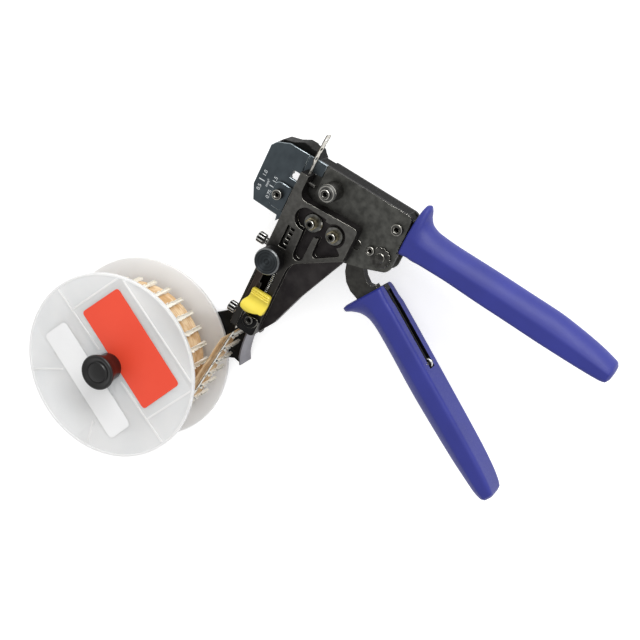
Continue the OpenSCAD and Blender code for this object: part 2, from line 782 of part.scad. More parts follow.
module reel_knob() {
    color("#1d1d1f") lay() translate([reel[0], reel[1], 0]) rotate_extrude($fn = 72) polygon([
        [spindle_r + fit, knob_z0], [7.4, knob_z0], [7.6, knob_z0 + 5], [reel_knob_r - 0.8, knob_z0 + 6.2],
        [reel_knob_r, knob_z0 + 7.2], [reel_knob_r, knob_z1 - 1.2], [reel_knob_r - 0.9, knob_z1 - 0.2],
        [reel_knob_r - 2.2, knob_z1], [reel_knob_r - 3.6, knob_z1 - 0.4], [reel_knob_r - 3.9, knob_z1 - 1],
        [0, knob_z1 - 1],
        [0, knob_z0 + 6.3], [spindle_r + fit, knob_z0 + 6.3]]);
}

bar_z0 = groove_z + 0.2;
bar_z1 = face_z - 0.3;
thumb_z0 = face_z + gap;
wide_y1 = groove_y1 - slide_travel - gap;

// Thumb slide: its outline cut from a bar with a flat pad, a scoop and a raised lip
module thumb_slide() {
    color("#f5e04a") lay() intersection() {
        slab(thumb_z0, thumb_z0 + 5) polygon([
            [-2.7, -60.7], [-2.2, -61.7], [-2.1, -66], [-2.2, -70.6], [-2.9, -71.7], [-4.6, -71.7],
            [-6.4, -72.8], [-9.4, -74], [-12.1, -74.3], [-14.4, -73.3], [-15.4, -71.4], [-15.2, -69.2],
            [-13.9, -66.8], [-13.3, -63.9], [-13.4, -61.4], [-12.8, -60.7], [-4, -60.4]]);
        translate([-16, 0, thumb_z0]) rotate([90, 0, 90]) linear_extrude(15) polygon([
            [-60, 0], [-60, 2], [-60.8, 2.6], [-63.8, 2.7], [-65.2, 2], [-66.6, 1.9], [-68.4, 2.6],
            [-70.4, 3.9], [-72.2, 4.4], [-73.4, 3.9], [-74.3, 2.6], [-74.6, 0]]);
    }
}

// Bar under the thumb slide, with a foot that bears on the spring
module slide_bar() {
    color("#4a3f38") lay() {
        slab(bar_z0, bar_z1) {
            translate([groove_l + 0.2, groove_y0 + 0.3]) square([5.2, wide_y1 - groove_y0 - 0.3]);
            translate([groove_l + 0.2, wide_y1 - 1])
                square([narrow_r - groove_l - 0.2, groove_y1 + 0.8 - wide_y1]);
            translate([-11.4, groove_y0 + 0.3]) square([5.4, 8]);
        }
        slab(bar_z1, thumb_z0) translate([-13, -70]) square([6, 8]);
    }
}

spring_y0 = groove_y0 + 8.6;
spring_r = 0.85;
spring_z = bar_z0 + spring_r + 0.3;

module feed_spring() {
    turns = 13;
    steps = 12;
    length = groove_y1 - spring_y0 - 0.5;
    color("#9a9a96") lay() loft(sweep_rings(
        [for (i = [0:turns * steps]) let (a = i * 360 / steps, k = i / (turns * steps))
            [-7.2 + spring_r * cos(a), spring_y0 + 0.25 + k * length, spring_z + spring_r * sin(a)]],
        0.17, 6));
}

module clamp_knob() {
    color("#35393c") lay() translate([knob_at[0], knob_at[1], 0]) rotate_extrude($fn = 72) polygon([
        [0, 9.4], [1.5, 9.4], [1.5, face_z + gap], [4.5, face_z + gap], [4.5, face_z + 2.4],
        [knob_r, face_z + 3],
        [knob_r, face_z + gap + knob_h + 1.2], [knob_r - 0.6, face_z + gap + knob_h + 1.8],
        [0, face_z + gap + knob_h + 1.2]]);
}

// Knurled thumb screw whose shank runs along +X into the rail
module thumb_screw(y, head_x) {
    z = rail_screw_z;
    difference() {
        bar_x(y, z, 3, head_x, head_x + 4.5);
        for (i = [0:17]) translate([head_x - 1, y, z]) rotate([i * 20, 0, 0])
            translate([0, 3, 0]) rotate([0, 90, 0]) cylinder(r = 0.28, h = 7, $fn = 16);
    }
    bar_x(y, z, 2, head_x + 4.5, rail_l - gap);
    bar_x(y, z, 1.45, rail_l - gap, -16.2);
}

module upper_thumb_screw() { color(zinc) lay() thumb_screw(rail_screw_y[0], -25.2); }

module lower_thumb_screw() { color(zinc) lay() thumb_screw(rail_screw_y[1], -23.5); }

head_frame();
front_cheek();
rear_cheek();
head_cover();
bridge_cover();
locator_tab();
locator_screw();
anvil_die();
main_bolt();
main_bolt_screw();
cheek_screws();
cheek_nuts();
adjusting_dial();
eccentric_pin();
dial_lock_screw();
handle_pin();
upper_grip();
feeder_bracket();
rail_back();
window_leaf();
feeder_screws();
feeder_washers();
stop_pin();
guide_block();
block_screw();
reel_arm();
strip_guide();
arm_screws();
reel_spindle();
terminal_strip();
paper_tape();
handle_lever();
lower_grip();
return_spring();
spring_pin();
crank_pin();
ram();
ram_die();
pawl();
reel_front_flange();
reel_rear_flange();
reel_hub();
wound_paper();
wound_terminals();
reel_knob();
thumb_slide();
slide_bar();
feed_spring();
clamp_knob();
upper_thumb_screw();
lower_thumb_screw();
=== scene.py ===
# %% [markdown]
# # A hand crimp tool with its reel of terminals
# The tool lies on a pale floor and is seen from above its grips. Its solids come from a packed
# model, which this script loads and never moves. The script gives them edges and finishes, and
# models again what a plain solid can't show: moulded grips, the thumb slide, the terminal strip.
# Everything is worked out in drawing millimetres about the body's centre line, because the parts
# were drawn that way, and one function turns them into metres in the model's own frame.

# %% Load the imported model
import json
import math

import bmesh
import bpy
import numpy as np
from mathutils import Matrix, Vector


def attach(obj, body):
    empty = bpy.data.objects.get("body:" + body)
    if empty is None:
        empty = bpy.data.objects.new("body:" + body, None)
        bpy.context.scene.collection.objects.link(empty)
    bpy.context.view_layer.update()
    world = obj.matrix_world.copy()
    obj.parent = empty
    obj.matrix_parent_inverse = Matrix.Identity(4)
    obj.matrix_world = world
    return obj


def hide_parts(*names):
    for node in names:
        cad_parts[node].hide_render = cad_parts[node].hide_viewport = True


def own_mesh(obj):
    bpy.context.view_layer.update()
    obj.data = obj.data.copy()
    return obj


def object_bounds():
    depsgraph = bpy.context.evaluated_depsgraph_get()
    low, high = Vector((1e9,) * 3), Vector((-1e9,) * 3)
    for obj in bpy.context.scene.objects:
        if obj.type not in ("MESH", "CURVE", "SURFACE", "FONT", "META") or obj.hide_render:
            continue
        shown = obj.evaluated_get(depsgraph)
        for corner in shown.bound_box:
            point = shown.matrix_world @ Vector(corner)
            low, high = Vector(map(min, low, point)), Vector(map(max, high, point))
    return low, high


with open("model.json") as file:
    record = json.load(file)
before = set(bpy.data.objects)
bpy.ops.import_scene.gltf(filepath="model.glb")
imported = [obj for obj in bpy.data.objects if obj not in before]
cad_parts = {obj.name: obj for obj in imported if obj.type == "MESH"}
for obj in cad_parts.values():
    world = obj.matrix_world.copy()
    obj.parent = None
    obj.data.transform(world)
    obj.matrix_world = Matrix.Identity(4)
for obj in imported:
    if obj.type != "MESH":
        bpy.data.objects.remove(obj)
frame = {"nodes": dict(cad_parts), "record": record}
cad_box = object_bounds()
bodies = frame["record"]["behaviour"]["bodies"]
body_of_node = {node: body for body, members in bodies.items() for node in members}

# %% Drawing millimetres to metres
MM = 0.001
BODY_CENTRE = np.array([0.0, -2.7, 9.5])
HALF_BODY = 6.0


def to_metres(points):
    """Adds the body centre's offset from the datum, then scales millimetres to metres."""
    return (np.asarray(points, float) + BODY_CENTRE) * MM


size_mm = (np.array(cad_box[1]) - np.array(cad_box[0])) / MM
print("tool and reel measure", size_mm.round(1), "mm")

# %% [markdown]
# ## Camera
# A catalogue photograph of a tool this size is taken from about 0.7 m with a long lens. The
# camera could be aimed with a constraint, but three axes written out give the roll as well:
# it looks from the camera place to the aim point, and turns about that line.


# %% Camera at the photograph's angle
def put(name, data):
    """An object of that data, linked to the scene."""
    made = bpy.data.objects.new(name, data)
    bpy.context.scene.collection.objects.link(made)
    return made


camera_place = Vector((0.1864955, 0.2413371, 0.6615239))
camera_aim = Vector((0.02276, -0.06374, 0.015))
camera_roll = math.radians(-121.792)
LENS_MM, SENSOR_MM = 81.5625, 36

backwards = (camera_place - camera_aim).normalized()
level = Vector((0, 0, 1)).cross(backwards).normalized()
upright = backwards.cross(level)
right = math.cos(camera_roll) * level + math.sin(camera_roll) * upright
up = -math.sin(camera_roll) * level + math.cos(camera_roll) * upright

camera = put("camera", bpy.data.cameras.new("camera"))
camera.matrix_world = Matrix.Translation(camera_place) @ Matrix((right, up, backwards)).transposed().to_4x4()
camera.data.sensor_width = SENSOR_MM
camera.data.lens = LENS_MM
camera.data.clip_end = 20
bpy.context.scene.camera = camera
print("camera is", round((camera_place - camera_aim).length, 3), "m from its aim")

# %% [markdown]
# ## Nodes and colours
# Colours are given as sRGB hex values, but a shader works in linear light, so one
# function turns them. One more adds any shader node, with its settings and its links, which
# keeps each material below as a list of what it is made of.


# %% Colour and node helpers
def linear(hex_colour):
    """sRGB hex to linear red, green, blue and alpha, by the sRGB curve."""
    srgb = np.array([int(hex_colour[i : i + 2], 16) for i in (1, 3, 5)]) / 255
    value = np.where(srgb <= 0.04045, srgb / 12.92, ((srgb + 0.055) / 1.055) ** 2.4)
    return (*value, 1.0)


def add(tree, kind, inputs=None, **settings):
    """Adds a shader node. A setting is a property of the node; an input is a value, or an output to link."""
    made = tree.nodes.new("ShaderNode" + kind)
    for name, value in settings.items():
        setattr(made, name, value)
    for socket, value in (inputs or {}).items():
        if isinstance(value, bpy.types.NodeSocket):
            tree.links.new(value, made.inputs[socket])
        else:
            made.inputs[socket].default_value = value
    return made


def empty_material(name):
    """A material with no nodes yet, and its node tree."""
    material = bpy.data.materials.new(name)
    material.use_nodes = True
    material.node_tree.nodes.clear()
    return material, material.node_tree


def per_mm(size):
    """Texture scale for a pattern whose features are that many millimetres apart."""
    return 1 / (size * MM)


print("mid grey #808080 is", round(linear("#808080")[0], 3), "in linear light")

# %% [markdown]
# ## Floor and light
# The photograph is a studio cut-out on white. Its light comes in low from beyond the jaws, so
# edges that face that way are bright lines and flat faces, which mirror the dimmer ceiling, stay
# dark. A world that is white all round the horizon and less so overhead gives both, with one
# lamp where the bright side is and a weaker one to fill. The floor keeps the tool's shadow.

# %% White world
# How strongly the world lights the tool, and how bright its ceiling is in a mirror: its horizon is 1, and
# the dimming starts and ends where a mirrored ray has these shares of straight up
WORLD_LIGHT, CEILING = 0.68, 0.6
DIM_FROM, DIM_TO = 0.45, 0.85
world = bpy.data.worlds.new("studio")
world.use_nodes = True
world.node_tree.nodes.clear()
ray = add(world.node_tree, "LightPath")
heading = add(world.node_tree, "TexCoord")
height = add(world.node_tree, "SeparateXYZ", {0: heading.outputs["Generated"]})
mirrored = add(world.node_tree, "MapRange", {
    0: height.outputs["Z"], 1: DIM_FROM, 2: DIM_TO, 3: 1.0, 4: CEILING})
bent = add(world.node_tree, "Math", {0: ray.outputs["Is Glossy Ray"], 1: ray.outputs["Is Transmission Ray"]},
           operation="MAXIMUM")
lit = add(world.node_tree, "MapRange", {0: bent.outputs[0], 3: WORLD_LIGHT, 4: mirrored.outputs[0]})
level_of_light = add(world.node_tree, "MapRange", {0: ray.outputs["Is Camera Ray"], 3: lit.outputs[0], 4: 1.0})
sky = add(world.node_tree, "Background", {"Color": (1, 1, 1, 1), "Strength": level_of_light.outputs[0]})
add(world.node_tree, "OutputWorld", {"Surface": sky.outputs[0]})
bpy.context.scene.world = world
bpy.context.scene.view_settings.view_transform = "Standard"
print("world lights at", WORLD_LIGHT, "and its ceiling mirrors at", CEILING)


# %% Soft lamps
def soft_lamp(name, place, aim, width, height, power):
    """A rectangular area lamp turned so that it shines from place to aim: sizes in metres, power in watts."""
    data = bpy.data.lights.new(name, "AREA")
    data.shape = "RECTANGLE"
    data.size, data.size_y = width, height
    data.energy = power
    lamp = put(name, data)
    lamp.location = place
    lamp.rotation_euler = (Vector(aim) - Vector(place)).to_track_quat("-Z", "Y").to_euler()
    return lamp


TOOL_MIDDLE = (0.02, -0.06, 0.01)
soft_lamp("key", (0.12, 0.80, 0.46), TOOL_MIDDLE, 0.80, 0.28, 6.2)
soft_lamp("fill", (0.20, 0.30, 0.90), TOOL_MIDDLE, 0.70, 0.70, 0.8)
print("two soft lamps")

# %% Floor
# Half the floor's side in metres, its place under the tool, and the glow that lifts it to white where a
# ray from the camera, or one that a mirror or glass has bent, meets it
FLOOR_REACH, FLOOR_GAP_MM, FLOOR_GLOW = 3.0, 0.2, 0.58
floor_z = cad_box[0].z - FLOOR_GAP_MM * MM
floor_mesh = bpy.data.meshes.new("floor")
corner = np.array([[-1, -1], [1, -1], [1, 1], [-1, 1]]) * FLOOR_REACH
floor_mesh.from_pydata([(x, y, floor_z) for x, y in corner], [], [(0, 1, 2, 3)])
floor = put("floor", floor_mesh)
paper_white, tree = empty_material("white floor")
ray = add(tree, "LightPath")
seen = add(tree, "Math", {0: ray.outputs["Is Camera Ray"], 1: ray.outputs["Is Glossy Ray"]}, operation="MAXIMUM")
seen = add(tree, "Math", {0: seen.outputs[0], 1: ray.outputs["Is Transmission Ray"]}, operation="MAXIMUM")
lift = add(tree, "MapRange", {0: seen.outputs[0], 3: 0.0, 4: FLOOR_GLOW})
glow = add(tree, "Emission", {"Strength": lift.outputs[0]})
matte = add(tree, "BsdfDiffuse", {"Color": linear("#eeeeee")})
both = add(tree, "AddShader", {0: matte.outputs[0], 1: glow.outputs[0]})
add(tree, "OutputMaterial", {"Surface": both.outputs[0]})
floor_mesh.materials.append(paper_white)
print("floor at", round(floor_z / MM, 2), "mm")

# %% [markdown]
# ## Metal finishes
# The body plates are burnished steel: ground flat, then blackened in hot salts, which leaves a
# dark satin skin with faint cloudy patches. Edges wear back to grey first. All the metals here
# differ in tone, in gloss and in the size of their grain, so one function builds them from
# those facts, and every pattern's scale is a real size in millimetres.


# %% What all the materials share
def two_tones(tree, pattern, tone, other_tone, low=0.35, high=0.65):
    """A colour that goes from the first tone to the other one while the pattern goes from low to high."""
    share = add(tree, "MapRange", {0: pattern, 1: low, 2: high})
    mixed = add(tree, "Mix", {0: share.outputs[0], 6: linear(tone), 7: linear(other_tone)}, data_type="RGBA")
    return mixed.outputs[2]


def surface(tree, relief, depth_mm, strength, inputs):
    """Closes a material: a bump of that depth from the relief, on a Principled shader with those inputs."""
    bump = add(tree, "Bump", {"Height": relief, "Strength": strength, "Distance": depth_mm * MM})
    shader = add(tree, "BsdfPrincipled", {**inputs, "Normal": bump.outputs[0]})
    add(tree, "OutputMaterial", {"Surface": shader.outputs[0]})


print("helpers for materials are ready")


# %% A metal from its tone, gloss and grain
def metal(name, tone, cloud_tone, gloss, cloud_mm=9.0, grain_mm=0.25, grain_depth_mm=0.004, stretch=(1, 1, 1),
          metallic=1.0, painted_shade_tone=None):
    """Cloudy tone and roughness over the surface, and a fine grain as bump, long where stretch is below 1. The
    tone turns to painted_shade_tone from 20 to 55 mm in front of the body, as painted shade."""
    material, tree = empty_material(name)
    place = add(tree, "TexCoord")
    laid = add(tree, "Mapping", {"Vector": place.outputs["Object"], "Scale": stretch})
    clouds = add(tree, "TexNoise", {"Vector": laid.outputs[0], "Scale": per_mm(cloud_mm), "Detail": 4.0})
    grain = add(tree, "TexNoise", {"Vector": laid.outputs[0], "Scale": per_mm(grain_mm), "Detail": 2.0})
    colour = two_tones(tree, clouds.outputs["Fac"], tone, cloud_tone)
    if painted_shade_tone:
        axes = add(tree, "SeparateXYZ", {"Vector": place.outputs["Object"]})
        far = add(tree, "MapRange", {0: axes.outputs["Y"], 1: -20 * MM, 2: -55 * MM})
        colour = add(tree, "Mix", {0: far.outputs[0], 6: colour, 7: linear(painted_shade_tone)}, data_type="RGBA").outputs[2]
    rough_grain = add(tree, "MapRange", {0: grain.outputs["Fac"], 1: 0.3, 2: 0.7, 3: gloss - 0.05, 4: gloss + 0.08})
    surface(tree, grain.outputs["Fac"], grain_depth_mm, 0.6, {
        "Base Color": colour, "Metallic": metallic, "Roughness": rough_grain.outputs[0]})
    return material


print("clouds 9 mm apart need a texture scale of", round(per_mm(9.0), 1))

# %% Steels
# Blackened plates: satin, with small cloudy patches, so that no flat face is one even grey
burnished_steel = metal("burnished steel", "#63635f", "#4d4d4a", 0.42, cloud_mm=3.2)
# The bracket's face: the same black, more even, with painted shade darkening it towards the rail's lower end
bracket_steel = metal("blackened bracket", "#62615e", "#53524f", 0.45, cloud_mm=2.2, painted_shade_tone="#3a3836")
# The lever's black lies lower than the bracket's and looks deeper
lever_steel = metal("blackened lever", "#4b4a47", "#3e3d3b", 0.42, cloud_mm=3)
# The cheek's outer edge, worn by the bench and the hand, and painted brighter still as a highlight
worn_edge_painted_highlight = metal("worn steel edge with painted highlight", "#c9c7bf", "#a19f98", 0.26, cloud_mm=3)
# Painted shade on the upright sides of plates, tab and knob: nearly black, and matt
painted_shade_steel = metal("steel with painted shade", "#2c2b2b", "#212020", 0.5, cloud_mm=6)
# Floors and walls of the casting's pockets, which lie deeper than the bracket's face: a darker tone
cast_floor = metal("cast pocket floor", "#3f3c3c", "#302d2e", 0.5, cloud_mm=6)
# Where the black has rubbed off an edge: grey, smoother, and lighter as a painted highlight
rubbed_edge_painted_highlight = metal("rubbed steel edge with painted highlight", "#9b9992", "#74726b", 0.28, cloud_mm=3)
# Phosphated parts behind: nearly black, matt, with greyer edges
dark_steel = metal("phosphated steel", "#262626", "#1c1c1c", 0.5, grain_mm=0.5, grain_depth_mm=0.012)
dark_edge = metal("dark steel edge", "#63625f", "#454441", 0.35, cloud_mm=3)
print("nine steels")

# %% Cover, screws, springs and strip
# Blue-black oxide on the marked cover, ground along its length: cooler than the plates, with edges that are worn and
# painted bright as a highlight
cover_oxide = metal("blue-black oxide", "#545c61", "#4a5156", 0.38, cloud_mm=5, grain_mm=0.12, stretch=(1, 0.6, 1))
cover_edge_painted_highlight = metal("cover edge with painted highlight", "#b8c1c5", "#8b959a", 0.24, cloud_mm=3)
# Oiled black screws and pins, with rims that a spanner and a key have polished, painted brighter still as a highlight
black_oxide = metal("oiled black screw", "#595855", "#3c3b39", 0.32, cloud_mm=2.5, grain_mm=0.12)
polished_rim_painted_highlight = metal("polished screw rim with painted highlight", "#bdbbb4", "#8f8d86", 0.2, cloud_mm=2)
# Painted shade: near black, for sockets, flutes, thread roots, the slide's groove and the head frame's sides
painted_shade_black = metal("painted shade in a hollow", "#141413", "#0c0c0c", 0.6, cloud_mm=1)
# Washers of plain ground steel, and nuts with a yellow passivation that gives them a straw tint
washer_steel = metal("ground washer", "#858582", "#5b5b59", 0.34, cloud_mm=2, grain_mm=0.15)
passivated_nut = metal("yellow passivated nut", "#b3a98e", "#777057", 0.28, cloud_mm=1.0)
# Chromed thumb screws: a mirror that has dulled a little
chrome = metal("dulled chrome", "#dcdcd9", "#b4b4b2", 0.16, cloud_mm=2)
# Drawn spring wire: bright, fine lines
spring_wire = metal("spring wire", "#ecece8", "#c4c4c0", 0.24, cloud_mm=2, grain_mm=0.1)
# Brown-grey bronze for the ribbon's cut edges and hole walls, and for a darker band round each cell's border
cut_bronze = metal("cut bronze edge", "#6c675e", "#4b4741", 0.35, cloud_mm=1)
# Painted shade inside a fold, where little light gets in
painted_shade_bronze = metal("bronze with painted shade in a fold", "#3b3a42", "#232228", 0.5, cloud_mm=1)
# Tinned terminals and their ribbon: the tin has a cream white skin of oxide and no longer shines as metal
dull_tin = metal("dull tin", "#fbf8f0", "#f0ecdf", 0.5, cloud_mm=1.6, grain_mm=0.3, metallic=0.0)
# Brown-grey bar under the thumb slide, with light and dark streaks along its travel that are painted reflection
painted_reflection_steel = metal("steel with painted reflection streaks", "#5c514b", "#2b2522", 0.4, cloud_mm=1.2, grain_mm=0.15, stretch=(1, 0.06, 1))
# Grey enamelled guide sheet: even and satin, a little lighter on its edges
grey_sheet = metal("grey steel sheet", "#7e7d83", "#717076", 0.4, cloud_mm=6)
sheet_edge = metal("grey sheet edge", "#a5a5aa", "#8a8a8f", 0.35)
print("fifteen more metals")

# %% [markdown]
# ## Turned steel
# A part faced on a lathe keeps a fine spiral groove, which spreads a highlight across itself, so
# that light falls off the face in two bright fans. The grooves are finer than the picture can
# show, so the spread is given as anisotropy: its direction is the way from the part's own axis,
# which a Mapping node brings to the origin. A few coarser rings are drawn on top.


# %% Turned finish about a point
def turned_steel(name, tone, groove_tone, centre, ring_mm, gloss, depth_mm=0.006):
    """Rings are noise over the distance from centre in the X-Y plane, about one each ring_mm."""
    material, tree = empty_material(name)
    place = add(tree, "TexCoord")
    offset = tuple(-to_metres((centre[0], centre[1], 0.0)))
    middle = add(tree, "Mapping", {"Vector": place.outputs["Object"], "Location": (offset[0], offset[1], 0.0)})
    flat = add(tree, "VectorMath", {0: middle.outputs[0], 1: (1.0, 1.0, 0.0)}, operation="MULTIPLY")
    radius = add(tree, "VectorMath", {0: flat.outputs[0]}, operation="LENGTH")
    outwards = add(tree, "VectorMath", {0: flat.outputs[0]}, operation="NORMALIZE")
    spacing = add(tree, "CombineXYZ", {"X": radius.outputs["Value"]})
    rings = add(tree, "TexNoise", {"Vector": spacing.outputs[0], "Scale": per_mm(ring_mm), "Detail": 3.0})
    surface(tree, rings.outputs["Fac"], depth_mm, 0.6, {
        "Base Color": two_tones(tree, rings.outputs["Fac"], tone, groove_tone), "Metallic": 1.0,
        "Roughness": gloss, "Anisotropic": 0.93, "Tangent": outwards.outputs[0]})
    return material


KNOB_AXIS = (-10.5, -41.7)
BOLT_AXIS = (0.0, 2.7)
# Faces of the clamp knob and of the main bolt: dull steel, brighter in two fans
knob_steel = turned_steel("turned steel knob", "#474b4e", "#2d3032", KNOB_AXIS, 0.8, 0.5)
bolt_steel = turned_steel("turned bolt end", "#7d7d7a", "#555553", BOLT_AXIS, 0.8, 0.5)
# Chamfer round the knob, cut last with a sharp tool: nearly a mirror
knob_rim = turned_steel("turned knob rim", "#77797a", "#5c5e5f", KNOB_AXIS, 0.5, 0.3, 0.002)
print("three turned finishes")

# %% [markdown]
# ## Plastics, paper and labels
# The grips are a moulded, rather hard plastic: blue-violet, satin, with the fine spark-eroded
# texture of its mould. The slide is a glossier acetal. The reel is milky polystyrene, which light goes
# right through, so it gets a deep subsurface. Kraft paper is fibres, drawn here as long thin
# noise.


# %% A plastic from its colour, gloss and texture
def plastic(name, tone, shade_tone, gloss, texture_mm=0.4, depth_mm=0.01, glow=0.0, cloud_mm=25.0):
    """Base colour that drifts slowly between two tones, a fine moulded texture, and glow as subsurface weight."""
    material, tree = empty_material(name)
    place = add(tree, "TexCoord")
    drift = add(tree, "TexNoise", {"Vector": place.outputs["Object"], "Scale": per_mm(cloud_mm), "Detail": 3.0})
    texture = add(tree, "TexNoise", {"Vector": place.outputs["Object"], "Scale": per_mm(texture_mm), "Detail": 2.0})
    rough = add(tree, "MapRange", {0: texture.outputs["Fac"], 1: 0.3, 2: 0.7, 3: gloss - 0.04, 4: gloss + 0.06})
    surface(tree, texture.outputs["Fac"], depth_mm, 0.5, {
        "Base Color": two_tones(tree, drift.outputs["Fac"], tone, shade_tone), "Roughness": rough.outputs[0],
        "IOR": 1.5, "Subsurface Weight": glow, "Subsurface Radius": (1.0, 1.0, 1.0), "Subsurface Scale": 6 * MM})
    return material


# Moulded polypropylene grips: saturated, satin
grip_plastic = plastic("blue moulded grip", "#262d87", "#22297e", 0.5, texture_mm=0.7, depth_mm=0.02)
# Acetal thumb slide: bright yellow, smoother
yellow_acetal = plastic("yellow acetal", "#ebd74b", "#e3ca3d", 0.32, texture_mm=0.3, depth_mm=0.004)
# Milky polystyrene reel: glows a little
reel_styrene = plastic("milky polystyrene", "#e8eaeb", "#e1e4e6", 0.36, texture_mm=1.5, glow=0.9)
# The same painted lighter: a painted highlight on the ribs' tops and the flanges' edges, and painted light on the
# rear flange and hub where the front flange shades them
painted_light_styrene = plastic("milky polystyrene painted lighter", "#fafafa", "#f6f7f7", 0.34, texture_mm=1.5, glow=0.9)
# Black phenolic knob: glossy, so its rim shows as a soft grey ring
black_phenolic = plastic("black phenolic", "#0e0d0e", "#0a0909", 0.32, texture_mm=0.3, depth_mm=0.003)
# Label stock: orange, and plain white, both matt as paper is
orange_label = plastic("orange label", "#f64f33", "#f24b2f", 0.5, texture_mm=0.25, depth_mm=0.004)
white_label = plastic("white label", "#fafafa", "#f6f6f6", 0.55, texture_mm=0.25, depth_mm=0.004)
# Ink stamped on the cover: off-white and dry
white_ink = plastic("white ink", "#dfe3e4", "#c3c8ca", 0.6, texture_mm=0.2, depth_mm=0.002)
print("eight plastics")


# %% Kraft paper
def kraft(name, tone, fibre_tone):
    """Paper as short fibres lying round the reel, with a slow change of tone between its layers."""
    material, tree = empty_material(name)
    place = add(tree, "TexCoord")
    laid = add(tree, "Mapping", {"Vector": place.outputs["Object"], "Scale": (0.08, 0.08, 1.0)})
    fibres = add(tree, "TexNoise", {"Vector": laid.outputs[0], "Scale": per_mm(0.5), "Detail": 3.0})
    patches = add(tree, "TexNoise", {"Vector": place.outputs["Object"], "Scale": per_mm(6.0)})
    share = add(tree, "Math", {0: fibres.outputs["Fac"], 1: patches.outputs["Fac"]}, operation="MULTIPLY")
    surface(tree, fibres.outputs["Fac"], 0.03, 0.5, {
        "Base Color": two_tones(tree, share.outputs[0], fibre_tone, tone, 0.17, 0.33), "Roughness": 0.8, "IOR": 1.45})
    return material


# Light brown and matt, streaked by darker fibres
kraft_paper = kraft("kraft paper", "#f0d6b0", "#cfa573")
print("kraft paper")

# %% [markdown]
# ## Turning arrays into pieces
# A piece is an array of points and an array of faces. Points that fall on each other, as at the
# pole of a turned shape, are merged, and the faces are turned outwards, so each shell is closed.
# Edges sharper than 35 degrees stay sharp and the rest is shaded smooth.


# %% Closed shells, shaded smooth
def face_outwards(mesh, merge_mm=0.002):
    """Merges points closer than merge_mm and turns every face of a closed shell outwards."""
    shell = bmesh.new()
    shell.from_mesh(mesh)
    bmesh.ops.remove_doubles(shell, verts=shell.verts, dist=merge_mm * MM)
    bmesh.ops.dissolve_degenerate(shell, edges=shell.edges, dist=merge_mm * MM / 4)
    bmesh.ops.recalc_face_normals(shell, faces=shell.faces)
    shell.to_mesh(mesh)
    shell.free()


def shade(mesh, sharp_degrees=35):
    """Smooth shading, with edges above that angle kept sharp."""
    mesh.polygons.foreach_set("use_smooth", np.ones(len(mesh.polygons), bool))
    mesh.set_sharp_from_angle(angle=math.radians(sharp_degrees))


print("helpers for shells are ready")


# %% A piece from arrays
def mesh_of(name, points, faces):
    """A mesh from points in drawing millimetres and faces that number them."""
    mesh = bpy.data.meshes.new(name)
    mesh.from_pydata(to_metres(points).tolist(), [], [[int(i) for i in face] for face in faces])
    return mesh


def piece(name, points, faces, body, slot, *materials, finish_of=None):
    """A mesh object from points in drawing millimetres, riding on a body. finish_of numbers each face's material."""
    mesh = mesh_of(name, points, faces)
    if finish_of is not None:
        mesh.polygons.foreach_set("material_index", np.asarray(finish_of, np.int32))
    face_outwards(mesh)
    shade(mesh)
    for material in materials:
        mesh.materials.append(material)
    made = put(name, mesh)
    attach(made, body)
    return made


print("a piece can ride on", ", ".join(sorted(bodies)))


# %% Grids and tubes
def ring_faces(rows, columns, closed_rows=False):
    """Quads between rows of a grid whose columns run round a closed ring."""
    row = np.arange(rows if closed_rows else rows - 1)[:, None]
    column = np.arange(columns)[None, :]
    next_row, next_column = (row + 1) % rows, (column + 1) % columns
    quads = [row * columns + column, row * columns + next_column,
             next_row * columns + next_column, next_row * columns + column]
    return np.stack(quads, axis=-1).reshape(-1, 4)


def skin(rings):
    """Points and faces of a tube through rings (rows, columns, 3), closed by a face at each end."""
    rows, columns = rings.shape[:2]
    faces = ring_faces(rows, columns).tolist()
    ends = [list(range(columns)), list(range((rows - 1) * columns, rows * columns))]
    return rings.reshape(-1, 3), faces + ends


def whole_turn(steps):
    """Angles of that many even steps round a full turn, from 0."""
    return np.linspace(0, 2 * np.pi, steps, endpoint=False)


print("a tube of 3 rings of 8 points has", len(skin(np.zeros((3, 8, 3)))[1]), "faces")

# %% [markdown]
# ## Steel parts with broken edges
# Every machined part has its sharp edges broken, and the bright line along such an edge is what
# tells the eye that it is steel. Each CAD node is kept as it is: a copy of it is merged into a
# clean mesh, its flat faces are joined, and a Bevel modifier breaks the edges. The new narrow
# faces take a second material, in which the black has worn off, and which on most parts is
# lighter still as a painted highlight. Where one piece has several finishes, a zone is a test of
# where a face lies or faces, with the finish of such faces; some zones paint shade on sides and hollows.


# %% Tests of where a face lies or faces
def near(places, radius, low, high):
    """A test for faces whose centre is nearer than radius to one of the places, between two heights."""
    places = np.atleast_2d(places)
    return lambda centres, normals: (
        (np.linalg.norm(centres[:, None, :2] - places[None], axis=-1).min(axis=1) < radius)
        & (centres[:, 2] > low) & (centres[:, 2] < high))


def upright_faces(centres, normals):
    """A test for faces that stand upright."""
    return np.abs(normals[:, 2]) < 0.5


def sloping_faces(centres, normals):
    """A test for chamfers: faces that neither lie flat nor stand upright."""
    return (np.abs(normals[:, 2]) > 0.3) & (np.abs(normals[:, 2]) < 0.95)


print("three tests for faces are ready")


# %% A finish for each zone
def triples(items, attribute):
    """That attribute of every item as an array (items, 3)."""
    values = np.empty(len(items) * 3)
    items.foreach_get(attribute, values)
    return values.reshape(-1, 3)


def paint(mesh, zones):
    """Gives each zone's material to the faces that pass its test of centre, in drawing mm, and normal."""
    centres, normals = triples(mesh.polygons, "center") / MM - BODY_CENTRE, triples(mesh.polygons, "normal")
    index = np.zeros(len(mesh.polygons), np.int32)
    for test, material in zones:
        index[test(centres, normals)] = len(mesh.materials)
        mesh.materials.append(material)
    mesh.polygons.foreach_set("material_index", index)


print("helpers for zones are ready")


